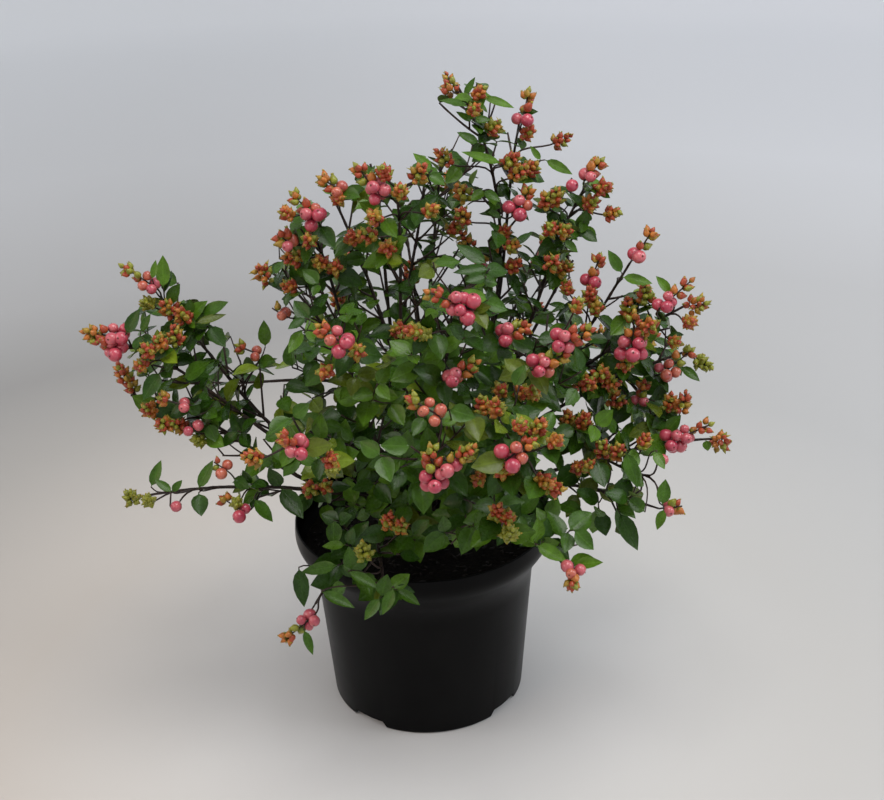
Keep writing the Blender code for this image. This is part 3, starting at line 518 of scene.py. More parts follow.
CARRIED_BY = {  # where the photograph shows which stem it is that carries something, by its middle
    (562, 140): "crown_right",
    (559, 167): "crown_right",
    (535.5, 153): "crown_right",
    (613, 213): "upper_right",
    (587, 240): "upper_right",
    (264.5, 333.5): "left_high",
}


# Directions, places and curves.
def unit(vector):
    return np.asarray(vector, float) / np.linalg.norm(vector)


def heading(bearing, pitch):
    """The unit vector towards a bearing, raised by a pitch."""
    b, p = math.radians(bearing), math.radians(pitch)
    return np.array((math.sin(b) * math.cos(p), -math.cos(b) * math.cos(p), math.sin(p)))


def place(bearing, reach, height):
    return heading(bearing, 0) * reach + UP * height


def bearing_of(vector):
    return math.degrees(math.atan2(vector[0], -vector[1]))


def pitch_of(vector):
    return math.degrees(math.atan2(vector[2], math.hypot(vector[0], vector[1])))


def bezier(*controls, count=CURVE_POINTS):
    """Points along a Bezier curve with any number of control points."""
    share = np.linspace(0, 1, count)[:, None]
    layers = [np.repeat(np.asarray(c, float)[None], count, axis=0) for c in controls]
    while len(layers) > 1:
        layers = [a * (1 - share) + b * share for a, b in zip(layers, layers[1:])]
    return layers[0]


def length_of(points):
    return float(np.linalg.norm(np.diff(points, axis=0), axis=1).sum())


def at_share(points, share):
    """The point and the tangent at a share of the curve's length."""
    steps = np.linalg.norm(np.diff(points, axis=0), axis=1)
    run = np.concatenate([[0], np.cumsum(steps)])
    goal = share * run[-1]
    k = min(int(np.searchsorted(run, goal, side="right")) - 1, len(steps) - 1)
    point = points[k] + (points[k + 1] - points[k]) * ((goal - run[k]) / steps[k])
    return point, unit(points[k + 1] - points[k])


def spaced(points, count, until=1.0):
    """Points set evenly along a curve, up to a share of its length."""
    return np.array([at_share(points, share)[0] for share in np.linspace(0, until, count)])


def across(tangent, turn):
    """A unit vector square to the tangent, turned round it by degrees from the level one."""
    level = np.cross(tangent, UP)
    level = unit(level) if np.linalg.norm(level) > 1e-3 else np.array((1.0, 0.0, 0.0))
    other = np.cross(level, tangent)
    a = math.radians(turn)
    return level * math.cos(a) + other * math.sin(a)


# The limbs' lines, as in the CAD.
def bough_line(bough):
    tip = place(bough.bearing, bough.reach, bough.height)
    height = COMPOST_TOP + TIER_HEIGHTS[bough.tier]
    foot = place(bough.leaves_at, TIER_RADII[bough.tier], height)
    pitch = min(STEEPEST, pitch_of(tip - foot) + START_LIFT)
    if bough.tier in ("centre", "head"):
        foot = foot + UP * (2 * GAP + BOUGH_FOOT_RADIUS * math.cos(math.radians(pitch)))
    else:
        clear = 2 * GAP + BOUGH_FOOT_RADIUS * math.sin(math.radians(pitch))
        foot = foot + heading(bough.leaves_at, 0) * clear
    chord = tip - foot
    start = heading(bough.leaves_at, pitch)
    end = heading(bearing_of(chord), pitch_of(chord) - TIP_SETTLE)
    size = np.linalg.norm(chord)
    return bezier(foot, foot + start * size * BOUGH_HANDLE, tip - end * size * BOUGH_HANDLE, tip)


def mass_line(name):
    mass = MASSES[name]
    limb = BOUGH_LINES[mass.bough]
    ahead = unit(limb[-1] - limb[-2])
    tip = place(mass.bearing, mass.reach, mass.height)
    twins = [place(m.bearing, m.reach, m.height) for m in MASSES.values() if m.bough == mass.bough]
    apart = tip - np.mean(twins, axis=0)
    apart = unit(apart - ahead * apart.dot(ahead))
    foot = limb[-1] + ahead * GAP + apart * FORK_OFFSET
    size = np.linalg.norm(tip - foot)
    end = heading(*TIP_LEANS.get(name, (mass.bearing, mass.tip_pitch)))
    return bezier(foot, foot + ahead * size * STEM_HANDLES[0], tip - end * size * STEM_HANDLES[1], tip)


NAMES = list(MASSES)
FOLIAGE_NODES = [f"foliage_{name}" for name in NAMES]
BOUGH_LINES = {name: bough_line(bough) for name, bough in BOUGHS.items()}
MASS_LINES = {name: mass_line(name) for name in NAMES}
CLOUD = np.concatenate([MASS_LINES[name] for name in NAMES])


def gaps_to_masses(points):
    """How far each point is from each mass's line, one row for each point."""
    gaps = np.linalg.norm(np.atleast_2d(points)[:, None] - CLOUD[None], axis=2)
    return gaps.reshape(len(gaps), len(NAMES), CURVE_POINTS).min(axis=2)


def in_pot(points):
    """Whether any point lies in the pot's wall or the compost, with a little room round them."""
    points = np.atleast_2d(points)
    radius = np.linalg.norm(points[:, :2], axis=1)
    wall = (radius < RIM_RADIUS + POT_ROOM) & (radius > COLLAR_FOOT_RADIUS)
    wall &= points[:, 2] < POT_HEIGHT + RIM_ROOM
    earth = (radius <= COLLAR_FOOT_RADIUS) & (points[:, 2] < COMPOST_TOP + POT_ROOM)
    return bool((wall | earth).any())


def in_box(points, margin=BOX_MARGIN):
    """Whether all the points keep to the CAD's box and the little that may pass it."""
    return bool(((points > np.array(CAD_LOW) - margin) & (points < np.array(CAD_HIGH) + margin)).all())


def room_for(name, points):
    """Whether the points are nearer this mass's line than any other's, and out of the pot."""
    gaps = gaps_to_masses(points)
    own = NAMES.index(name)
    others = np.delete(gaps, own, axis=1).min(axis=1)
    return float((others - gaps[:, own]).min()) > SPACE_MARGIN and not in_pot(points)


# How the shrub grows. Each twig has its line, its radii, what it ends in, the share at which its leaves
# start, the twig that carries it and where, and out to which share it is kept at least.
Twig = namedtuple("Twig", "points wood end leaves_from carrier foot kept", defaults=(None, 0.0, 0.0))
TWIGS = []
CARRIES = {}  # for each mass, the share of its stem out to the last seen thing that sits on it


def pairs_along(line, shares, rng, off_turn=TWIG_TURN):
    """Where twigs leave a line in pairs, each pair turned a quarter from the last."""
    turn = rng.uniform(0, 90)
    for share in shares:
        foot, tangent = at_share(line, share)
        turn += 90 + rng.uniform(-off_turn, off_turn)
        for side in (0, 180):
            yield share, foot, tangent, turn + side


def fork_shares(line, offset):
    forks = max(2, round(length_of(line) / FORK_GAP))
    return [FORK_FIRST + (FORK_LAST - FORK_FIRST) * (k + offset) / forks for k in range(forks)]


def side_shoots(name):
    """The shoots that leave a mass's stem in pairs, as in the CAD."""
    mass, line = MASSES[name], MASS_LINES[name]
    rng = random.Random(mass.seed)
    for share, foot, tangent, turn in pairs_along(line, fork_shares(line, 0.5), rng, FORK_TURN):
        chance, lean = rng.random(), math.radians(rng.uniform(*SHOOT_LEAN))
        size = mass.side * (1 - SHOOT_SHRINK * share) * rng.uniform(*SHOOT_SIZES)
        ripe = rng.random() < RIPE_SHARE
        if chance > FORK_CHANCE:
            continue
        points = shoot_line(name, foot, tangent, turn, lean, size)
        if points is not None:
            yield points, share, ripe


def between_shoots(name):
    """Shorter shoots half-way between the forks."""
    mass, line = MASSES[name], MASS_LINES[name]
    rng = random.Random(mass.seed + BETWEEN_SEED)
    for share, foot, tangent, turn in pairs_along(line, fork_shares(line, 1.0), rng):
        lean = math.radians(rng.uniform(*SHOOT_LEAN))
        size = mass.side * BETWEEN_SIZE * (1 - SHOOT_SHRINK * share) * rng.uniform(*SHOOT_SIZES)
        if rng.random() > BETWEEN_CHANCE:
            continue
        points = shoot_line(name, foot, tangent, turn, lean, size)
        if points is not None:
            yield points, share


def fine_twigs(name, parent, rng):
    """The last twigs, which leave a shoot in pairs."""
    size = length_of(parent)
    shares = [min(FINE_LAST, (k + FINE_FIRST) * FINE_GAP / size) for k in range(int(size / FINE_GAP))]
    for share, foot, tangent, turn in pairs_along(parent, shares, rng):
        lean, reach = math.radians(rng.uniform(*SHOOT_LEAN)), rng.uniform(*FINE_LENGTH)
        if rng.random() > FINE_CHANCE:
            continue
        points = shoot_line(name, foot, tangent, turn, lean, reach)
        if points is not None:
            yield points, share


def bough_shoots(line, rng, longer):
    """Leafy shoots on a bough past its bare foot, which fill the inside of the shrub."""
    size, bare = length_of(line), BOUGH_BARE / longer**2
    shares = [bare + (k + 0.5) * BOUGH_GAP / size for k in range(int(size * (1 - bare) / BOUGH_GAP))]
    for _, foot, tangent, turn in pairs_along(line, shares, rng):
        lean, reach = math.radians(rng.uniform(*SHOOT_LEAN)), rng.uniform(*BOUGH_LENGTH) * longer
        way = tangent * math.cos(lean) + across(tangent, turn) * math.sin(lean)
        way = unit(way + UP * BOUGH_LIFTS[0])
        tip = foot + (way + UP * BOUGH_LIFTS[1]) * reach
        points = bezier(foot, foot + way * reach * 0.5, tip, count=SHOOT_POINTS)
        if rng.random() < BOUGH_CHANCE and not in_pot(points) and in_box(points):
            yield points


def shoot_line(name, foot, tangent, turn, lean, size):
    """A shoot that leans away from its stem and lifts to the light, shortened to fit its space."""
    mass = MASSES[name]
    way = tangent * math.cos(lean) + across(tangent, turn) * math.sin(lean)
    way = unit(way + UP * SHOOT_LIFT * math.cos(math.radians(mass.tip_pitch)))
    bend = UP * SHOOT_BENDS[0 if mass.tip_pitch > 0 else 1]
    for shorter in SHORTER:
        reach = size * shorter
        points = bezier(foot, foot + way * reach * 0.5, foot + (way + bend) * reach, count=SHOOT_POINTS)
        if room_for(name, points[2:]) and in_box(points) and not crosses_opening(points):
            return points
    return None


# What the photograph's camera sees.
def camera_axes():
    """Right, up and ahead of the camera."""
    fall, roll = math.radians(CAMERA_FALL), math.radians(CAMERA_ROLL)
    ahead = np.array((0.0, math.cos(fall), -math.sin(fall)))
    level = np.array((1.0, 0.0, 0.0))
    upright = np.cross(level, ahead)
    right = level * math.cos(roll) + upright * math.sin(roll)
    return right, np.cross(right, ahead), ahead


CAMERA_RIGHT, CAMERA_UP, CAMERA_AHEAD = camera_axes()


def sight(pixel):
    """The direction in which the camera sees a pixel."""
    right, down = pixel[0] - IMAGE_WIDTH / 2, pixel[1] - IMAGE_HEIGHT / 2
    return unit(CAMERA_AHEAD + (CAMERA_RIGHT * right - CAMERA_UP * down) / FOCAL_PIXELS)


def depth_of(point):
    return float((point - CAMERA_AT).dot(CAMERA_AHEAD))


def pixels_of(points):
    """Where the camera sees points, in pixels."""
    away = np.atleast_2d(points) - CAMERA_AT
    pixels_per_metre = FOCAL_PIXELS / (away @ CAMERA_AHEAD)
    columns = IMAGE_WIDTH / 2 + (away @ CAMERA_RIGHT) * pixels_per_metre
    rows = IMAGE_HEIGHT / 2 - (away @ CAMERA_UP) * pixels_per_metre
    return np.stack([columns, rows], axis=1)


def in_outline(pixels):
    """Whether all the pixels lie inside the crown's outline."""
    corners = np.array(CROWN_OUTLINE, float)
    after = np.roll(corners, -1, axis=0)
    x, y = pixels[:, :1], pixels[:, 1:]
    crosses = (corners[:, 1] > y) != (after[:, 1] > y)
    rise = np.where(after[:, 1] == corners[:, 1], 1e-9, after[:, 1] - corners[:, 1])
    meets = (after[:, 0] - corners[:, 0]) * (y - corners[:, 1]) / rise + corners[:, 0]
    return bool(((crosses & (x < meets)).sum(axis=1) % 2 == 1).all())


def in_openings(pixels):
    """For each of the pixels, whether it lies where the photograph shows sky or the dark pot."""
    ovals = np.array(OPENINGS, float)
    off = (pixels[:, None] - ovals[:, :2]) / (ovals[:, 2:] - VIEW_MARGIN)
    return ((off**2).sum(axis=2) < 1).any(axis=1)


def crosses_opening(points):
    """Whether a twig would run for long across an opening."""
    return in_openings(pixels_of(points)).mean() > OPENING_SHARE


def fits_view(points):
    """Whether points keep inside the crown's outline, and out of its openings."""
    middle = points.mean(axis=0)
    pulled = pixels_of(points + (middle - points) * VIEW_PULL)
    between = (points[:4] + points[[1, 2, 3, 0]]) / 2
    return in_outline(pulled) and not in_openings(pixels_of(np.concatenate([points, between]))).any()


def seen_place(pixel, shell):
    """The first place on a pixel's sight line that is within a shell of some mass's line, and the mass.

    The outermost tips sit as far out as their mass does.
    """
    if not OUTER_LEFT < pixel[0] < OUTER_RIGHT:
        shell = OUTER_SHELL
    line = CAMERA_AT + sight(pixel) * SIGHT_STEPS
    line = line[[in_box(point, TIP_MARGIN) for point in line]]
    gaps = gaps_to_masses(line)
    carrier = CARRIED_BY.get(tuple(pixel))
    if carrier:
        gaps[:, [name != carrier for name in NAMES]] = np.inf
    nearest = gaps.min(axis=1)
    inside = nearest < shell
    hit = int(inside.argmax()) if inside.any() else int(nearest.argmin())
    return line[hit], NAMES[int(gaps[hit].argmin())]


def seen_span(base_pixel, tip_pixel, shell, tilt):
    """The ends of a thing seen from pixel to pixel, the mass that carries it and its middle pixel."""
    middle = (np.array(base_pixel, float) + np.array(tip_pixel)) / 2
    centre, name = seen_place(middle, shell)
    right, down = np.subtract(tip_pixel, base_pixel) * depth_of(centre) / FOCAL_PIXELS
    half = (CAMERA_RIGHT * right - CAMERA_UP * down) / 2 - CAMERA_AHEAD * tilt * math.hypot(right, down) / 2
    return centre - half, centre + half, name, middle


def tip_twig(name, tip, ahead, straight=TIP_STRAIGHT):
    """A twig from a mass's stem to a seen tip: it leaves the stem forwards and ends along the tip."""
    line = MASS_LINES[name]
    away = tip - line
    reach = np.linalg.norm(away, axis=1)
    tangents = np.gradient(line, axis=0)
    tangents /= np.linalg.norm(tangents, axis=1)[:, None]
    forward = (away * tangents).sum(axis=1) / np.maximum(reach, 1e-6)
    k = int((reach + TIP_FORWARD_COST * abs(forward - TIP_FORWARD)).argmin())
    CARRIES[name] = max(CARRIES.get(name, 0.0), k / (CURVE_POINTS - 1))
    size = reach[k]
    arrival = unit(ahead + unit(away[k]) * straight)
    leaving, arriving = tangents[k] * size * TIP_HANDLES[0], arrival * size * TIP_HANDLES[1]
    return bezier(line[k], line[k] + leaving, tip - arriving, tip, count=SHOOT_POINTS)


def masses_before(point, name):
    """How many other masses pass near the sight line from a point to the camera."""
    near = gaps_to_masses(point + unit(CAMERA_AT - point) * BEFORE_STEPS).min(axis=0) < BEFORE_GAP
    near[NAMES.index(name)] = False
    return int(near.sum())


# Leaves and fruit, as lists of what they are.
Leaf = namedtuple("Leaf", "root along face length width fold droop tint")
Ball = namedtuple("Ball", "centre ahead radius tint")
Blade = namedtuple("Blade", "root ahead face length width")
LEAVES, OUTLINES, MIDDLES = [], [], []
BERRIES, BUDS, BLADES = [], [], []
HEADS = []  # each head of fruit: centre, way out, radius, length of the way kept clear


def bud(centre, ahead, radius, rng, green=False):
    """A small fruit that isn't ripe, with the points of its calyx."""
    tint = "moss" if green or rng.random() < MOSS_CHANCE else rng.choice(BUD_CHOICES)
    BUDS.append(Ball(centre, ahead, radius, tint))
    turn = rng.uniform(0, 360)
    for side in (0, 120, 240):
        out = unit(ahead + across(ahead, turn + side) * rng.uniform(0.25, 0.7))
        root = centre + ahead * radius * 1.05
        size = radius * rng.uniform(0.45, 0.8)
        BLADES.append(Blade(root, out, across(out, turn + side), size, radius * 0.62))


def bud_head(base, ahead, size, rng, green=False):
    """A close head of small fruit in rings, the largest at its foot, with pointed bracts among them."""
    for along, spread, count, scale in HEAD_RINGS:
        middle = base + ahead * size * along
        turn = rng.uniform(0, 360)
        for j in range(count):
            side = across(ahead, turn + 360 * j / count + rng.uniform(-14, 14))
            way = unit(side + ahead * (0.25 + along * 1.1 + rng.uniform(-0.1, 0.3)))
            centre = middle + side * size * spread * rng.uniform(0.85, 1.1)
            centre = centre + ahead * size * rng.uniform(-0.04, 0.04)
            bud(centre, way, BUD_RADIUS * scale * rng.uniform(0.85, 1.12), rng, green)
            if rng.random() < BRACT_CHANCE:
                out = unit(side + ahead * rng.uniform(-0.2, 0.5))
                length = size * rng.uniform(0.22, 0.34)
                BLADES.append(Blade(centre, out, unit(np.cross(out, across(out, 0))), length, BRACT_WIDTH))


def berry_spike(base, tip, berries, ripeness, rng):
    """Berries in rings, large at the base and small at the tip, which ends in a few buds."""
    ahead, size = unit(tip - base), float(np.linalg.norm(tip - base))
    ring = 2 if berries < 9 else 3 if berries < 13 else 4
    nodes = max(1, math.ceil(berries / ring))
    if berries > 4:
        nodes = max(nodes, round(size / BERRY_STEP))
    big = BERRY_RADIUS * (0.6 + 0.4 * ripeness)
    left = max(berries, nodes * 2 if berries > 4 else 0)
    unripe_from = UNRIPE_FROM + (UNRIPE_LATER if ring > 2 else 0)
    for k in range(nodes):
        share = k / (nodes - 1) if nodes > 1 else 0.0
        turn = 60 * k + rng.uniform(-15, 15)
        for j in range(min(ring, left)):
            radius = (big + (SMALL_BERRY - big) * share**1.1) * rng.uniform(0.84, 1.06)
            out = across(ahead, turn + 360 * j / ring + rng.uniform(-18, 18))
            along = size * (SPIKE_FOOT + SPIKE_RUN * share) + rng.uniform(-0.0015, 0.0015)
            centre = base + ahead * along + out * (radius * RING_SPREADS[ring] + 0.0006)
            ripe = ripeness * (1 - RIPE_FALL * share) * rng.uniform(0.85, 1.13)
            if share > unripe_from:
                bud(centre, unit(out + ahead * 0.9), radius * 0.92, rng)
                continue
            tint = "rose" if ripe > ROSE_FROM else "pink" if ripe > PINK_FROM else "coral"
            BERRIES.append(Ball(centre, unit(out + ahead * 0.5), radius, tint))
        left -= ring
    if size > TUFT_FROM:
        for k in range(TUFT_BUDS):
            out = across(ahead, 360 * k / TUFT_BUDS + rng.uniform(-20, 20))
            centre = base + ahead * size * rng.uniform(0.76, 0.95) + out * TUFT_SPREAD
            bud(centre, unit(out + ahead), BUD_RADIUS, rng)
        bud(base + ahead * size, ahead, BUD_RADIUS * 0.85, rng)


def seen_tips():
    """Twigs that carry the spikes, the heads and the single leaves of the photograph."""
    rng = random.Random(SEEN_SEED)
    for base_pixel, tip_pixel, berries, ripeness in SPIKES_SEEN:
        shell, tilt = rng.uniform(*SPIKE_SHELL), rng.uniform(*SPIKE_TILT)
        base, tip, name, middle = seen_span(base_pixel, tip_pixel, shell, tilt)
        berry_spike(base, tip, berries, ripeness, rng)
        points = tip_twig(name, base, unit(tip - base))
        TWIGS.append(Twig(np.concatenate([points, [tip]]), TIP_WOOD, "fruit", TIP_LEAVES))
        radius = 0.45 * float(np.linalg.norm(tip - base)) + 0.004
        HEADS.append(((base + tip) / 2, -sight(middle), radius, SPIKE_CLEAR))
    for heads, green in ((HEADS_SEEN, False), (GREEN_HEADS_SEEN, True)):
        for column, row, pixels in heads:
            centre, name = seen_place((column, row), rng.uniform(*HEAD_SHELL))
            line = MASS_LINES[name]
            nearest = line[int(np.linalg.norm(line - centre, axis=1).argmin())]
            outward = unit(np.array((centre[0], centre[1], 0.04)))
            ahead = unit(unit(centre - nearest) + outward * 0.5 + UP * 0.7)
            size = HEAD_FULLNESS * pixels * depth_of(centre) / FOCAL_PIXELS
            base = centre - ahead * size * 0.45
            bud_head(base, ahead, size, rng, green)
            points = np.concatenate([tip_twig(name, base, ahead), [centre + ahead * size * 0.4]])
            TWIGS.append(Twig(points, TIP_WOOD, "fruit", TIP_LEAVES))
            HEADS.append((centre, -sight((column, row)), size * 0.42, HEAD_CLEAR))
    for base_pixel, tip_pixel, pixels, tint in LEAVES_SEEN:
        shell, tilt = rng.uniform(*LEAF_SHELL), rng.uniform(*LEAF_SEEN_TILT)
        root, tip, name, middle = seen_span(base_pixel, tip_pixel, shell, tilt)
        along, size = unit(tip - root), float(np.linalg.norm(tip - root))
        width = pixels * depth_of(root) / FOCAL_PIXELS
        towards = UP * 0.7 - sight(middle)
        face = unit(towards - along * towards.dot(along))
        fold, droop = rng.uniform(*SEEN_FOLD), rng.uniform(*SEEN_DROOP)
        add_leaf(Leaf(root, along, face, size, width, fold, droop, tint))
        TWIGS.append(Twig(tip_twig(name, root, along, LEAF_STRAIGHT), FINE_WOOD, "seen", SEEN_LEAVES))
        HEADS.append(((root + tip) / 2, -sight(middle), size * 0.32, HEAD_CLEAR))


def grow():
    """Every twig of the crown, the seen tips first."""
    seen_tips()
    rng = random.Random(GROW_SEED)
    for name, line in BOUGH_LINES.items():
        for points in bough_shoots(line, rng, BACK_LONGER if name.startswith("back") else 1.0):
            TWIGS.append(Twig(points, SHOOT_WOOD, "leaves", BOUGH_LEAVES))
    for name in NAMES:
        mass, line = MASSES[name], MASS_LINES[name]
        limb = BOUGH_LINES[mass.bough]
        joined = np.concatenate([[limb[-1] - unit(limb[-1] - limb[-2]) * 0.004], line])
        end = end_for(name, line, rng, mass.seed % 3 == 0)
        stem = len(TWIGS)
        TWIGS.append(Twig(spaced(joined, 40), STEM_WOOD, end, STEM_LEAVES, kept=CARRIES.get(name, 0.0)))
        for points, foot, ripe in side_shoots(name):
            add_shoot(name, points, stem, foot, end_for(name, points, rng, ripe), rng)
        for points, foot in between_shoots(name):
            end = end_for(name, points, rng, rng.random() < RIPE_SHARE)
            add_shoot(name, points, stem, foot, end, rng if name.startswith("back") else None)


def add_shoot(name, points, stem, foot, end, rng):
    """A shoot on a stem, with fine twigs where random numbers are given for them."""
    shoot = len(TWIGS)
    TWIGS.append(Twig(points, SHOOT_WOOD, end, SHOOT_LEAVES, stem, foot))
    if rng:
        for fine, fine_foot in fine_twigs(name, points, rng):
            TWIGS.append(Twig(fine, FINE_WOOD, "leaves", FINE_LEAVES, shoot, fine_foot))


def end_for(name, points, rng, ripe):
    """Fruit for a tip that the camera doesn't see in the open, and leaves for the rest."""
    tip, ahead = points[-1], unit(points[-1] - points[-2])
    behind = depth_of(tip) - depth_of(UP * tip[2])
    before = masses_before(tip, name)
    hidden = before >= 2 or (before == 1 and behind > FAR_DEPTH) or behind > REAR_DEPTH
    if behind < HIDDEN_DEPTH or not hidden or not fits_view(tip + HEAD_CORNERS):
        return "leaves"
    if not in_box(tip, 0.0) or not in_box(tip + ahead * HEAD_REACH, HEAD_PAST):
        return "leaves"
    outward = unit(np.array((tip[0], tip[1], 0.04)))
    ahead = unit(ahead + UP * 0.3 + outward * 0.2)
    if ripe:
        size = rng.uniform(0.024, 0.040)
        berries, ripeness = rng.randint(4, 8), rng.uniform(0.65, 1.0)
        berry_spike(tip, tip + ahead * size, berries, ripeness, rng)
        radius = size / 2 + 0.002
    elif rng.random() < HEAD_CHANCE:
        size = BUD_HEAD_SIZE * rng.uniform(0.85, 1.2)
        bud_head(tip, ahead, size, rng)
        radius = size * 0.45
    else:
        return "leaves"
    HEADS.append((tip + ahead * size / 2, outward, radius, REAR_CLEAR))
    return "fruit"


# Leaves.
def outline_of(leaf):
    """Four triangles that stand for a leaf where only its place matters."""
    side = np.cross(leaf.along, leaf.face) * leaf.width / 2
    middle = leaf.root + leaf.along * leaf.length * 0.5
    tip = leaf.root + leaf.along * leaf.length - leaf.face * leaf.droop * leaf.length
    start = leaf.root + leaf.along * leaf.length * 0.12
    return [start, middle + side + leaf.face * leaf.fold * leaf.width * 0.4, tip,
            middle - side + leaf.face * leaf.fold * leaf.width * 0.4, middle]


def tree_of(outlines):
    points = [tuple(p) for outline in outlines for p in outline]
    faces = [tuple(5 * k + i for i in face) for k in range(len(outlines)) for face in OUTLINE_FACES]
    return BVHTree.FromPolygons(points, faces)


def blocked(leaf):
    """Whether a leaf runs into the pot, out of the box, into fruit or into a leaf that is there."""
    outline = outline_of(leaf)
    points = np.array(outline)
    if in_pot(points) or not in_box(points) or not fits_view(points):
        return True
    for start, way, radius, clear in HEADS:
        away = points - start
        run = np.clip(away @ way, 0, clear)
        if (np.linalg.norm(away - run[:, None] * way, axis=1) < radius).any():
            return True
    if MIDDLES:
        near = np.linalg.norm(np.array(MIDDLES) - points[4], axis=1) < leaf.length
        nearby = [OUTLINES[k] for k in np.flatnonzero(near)]
        if nearby and tree_of(nearby).overlap(tree_of([outline])):
            return True
    return False


def add_leaf(leaf):
    LEAVES.append(leaf)
    OUTLINES.append(outline_of(leaf))
    MIDDLES.append(OUTLINES[-1][4])


def leaf_pairs(twig, rng):
    """Leaf pairs along a twig, each pair turned a quarter from the last, faces to the light.

    Returns how far along the twig the last leaf is.
    """
    size = length_of(twig.points)
    pairs = max(1, round(size * (1 - twig.leaves_from) / LEAF_SPACING))
    turn = rng.uniform(0, 180)
    tint = rng.choices(list(TINTS), [t[2] for t in TINTS.values()])[0]
    reached = 0.0
    for k in range(pairs):
        share = twig.leaves_from + (LEAF_LAST[twig.end] - twig.leaves_from) * (k + 1) / pairs
        turn += 90 + rng.uniform(-15, 15)
        for side in (0, 180):
            root, tangent = at_share(twig.points, min(0.995, share + (PAIR_STEP / size if side else 0)))
            outward = unit(np.array((root[0], root[1], 0.03)))
            forward, sink = rng.uniform(*LEAF_FORWARD), rng.uniform(*LEAF_SINK)
            length = LEAF_LENGTH * rng.uniform(*LEAF_LENGTHS) * (1 - LEAF_SHRINK * share)
            length *= 1 - HIGH_SHRINK * float(np.interp(root[2], HIGH_RANGE, (0, 1)))
            wild = np.array([rng.uniform(-LEAF_TILT, LEAF_TILT) for _ in range(3)])
            tilt = UP + outward * LEAF_OUTWARD + LIGHT_SIDE + wild
            fold, droop = rng.uniform(*LEAF_FOLD), rng.uniform(*LEAF_DROOP)
            width = length * LEAF_RATIO * rng.uniform(*LEAF_RATIOS)
            for swing, scale in LEAF_SWINGS:
                along = unit(across(tangent, turn + side + swing) + tangent * forward)
                along = unit(along + UP * (sink if along[2] > LEAF_HANGS else 0.2))
                face = unit(tilt - along * tilt.dot(along))
                leaf = Leaf(root, along, face, length * scale, width * scale, fold, droop, tint)
                if not blocked(leaf):
                    add_leaf(leaf)
                    reached = share
                    break
    return reached


def make_leaves():
    """Leaves on every twig. A twig without fruit ends at its last leaf or at the last twig it carries."""
    rng = random.Random(LEAF_SEED)
    kept = [max(leaf_pairs(twig, rng), twig.kept) for twig in TWIGS]
    for k in range(len(TWIGS) - 1, -1, -1):
        twig = TWIGS[k]
        if twig.end == "leaves" and kept[k] == 0:
            TWIGS[k] = None
            continue
        if twig.carrier is not None:
            kept[twig.carrier] = max(kept[twig.carrier], twig.foot)
        if twig.end == "leaves":
            points = spaced(twig.points, len(twig.points), min(1.0, kept[k] + CUT_PAST))
            TWIGS[k] = twig._replace(points=points)
    TWIGS[:] = [twig for twig in TWIGS if twig]


# Meshes.
class Pile:
    """Points, faces and what goes with them, gathered for one joined mesh."""

    def __init__(self):
        self.points, self.faces, self.finishes, self.uvs, self.flags = [], [], [], [], []
        self.count = 0

    def add(self, points, faces, finishes=None, uvs=None, flags=None):
        self.points.append(np.asarray(points, float))
        self.faces += [tuple(i + self.count for i in face) for face in faces]
        self.finishes += finishes if finishes is not None else [0] * len(faces)
        if uvs is not None:
            self.uvs.append(uvs)
        self.flags.append(flags if flags is not None else np.zeros(len(points), int))
        self.count += len(points)

    def mesh(self, name):
        """The joined mesh. An edge is sharp where both its ends are flagged alike."""
        mesh = mesh_of(name, np.concatenate(self.points), self.faces)
        mesh.polygons.foreach_set("material_index", self.finishes)
        mesh.shade_smooth()
        if self.uvs:
            layer = mesh.uv_layers.new(name="UVMap")
            corner = np.empty(len(mesh.loops), int)
            mesh.loops.foreach_get("vertex_index", corner)
            layer.data.foreach_set("uv", np.concatenate(self.uvs)[corner].ravel())
        flags = np.concatenate(self.flags)
        if flags.any():
            ends = np.empty(len(mesh.edges) * 2, int)
            mesh.edges.foreach_get("vertices", ends)
            pair = flags[ends].reshape(-1, 2)
            attribute = mesh.attributes.new("sharp_edge", "BOOLEAN", "EDGE")
            attribute.data.foreach_set("value", (pair[:, 0] & pair[:, 1]) > 0)
        mesh.update()
        return mesh


def mesh_of(name, points, faces):
    mesh = bpy.data.meshes.new(name)
    mesh.from_pydata(np.asarray(points).tolist(), [], faces)
    return mesh


def linked(name, data):
    """A new object in the scene."""
    made = bpy.data.objects.new(name, data)
    bpy.context.scene.collection.objects.link(made)
    return made


def piece(name, shape, looks, nodes):
    """A piece of the part, with its looks, that rides on the body and stands for CAD nodes."""
    mesh = shape.mesh(name) if isinstance(shape, Pile) else shape
    for look in looks:
        mesh.materials.append(look.material)
    made = linked(name, mesh)
    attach(made, BODY)
    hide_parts(*nodes)


def turned_faces(sides, rings, closed=True):
    """Faces of a shape turned about its axis: a fan at its foot, bands, and a fan on top."""
    faces = [(0, 1 + (s + 1) % sides, 1 + s) for s in range(sides)]
    for r in range(rings - 1):
        for s in range(sides):
            a, b = 1 + r * sides + s, 1 + r * sides + (s + 1) % sides
            faces.append((a, b, b + sides, a + sides))
    if closed:
        last = 1 + rings * sides
        faces += [(last, last - sides + s, last - sides + (s + 1) % sides) for s in range(sides)]
    return faces


def turned(name, profile, sides):
    """A mesh of revolution from (radius, height) points that start and end on the axis."""
    inner = profile[1:-1]
    angles = np.arange(sides) * 2 * math.pi / sides
    rings = [np.stack([r * np.cos(angles), r * np.sin(angles), np.full(sides, z)], axis=1) for r, z in inner]
    points = np.concatenate([[(0, 0, profile[0][1])], *rings, [(0, 0, profile[-1][1])]])
    return mesh_of(name, points, turned_faces(sides, len(inner)))


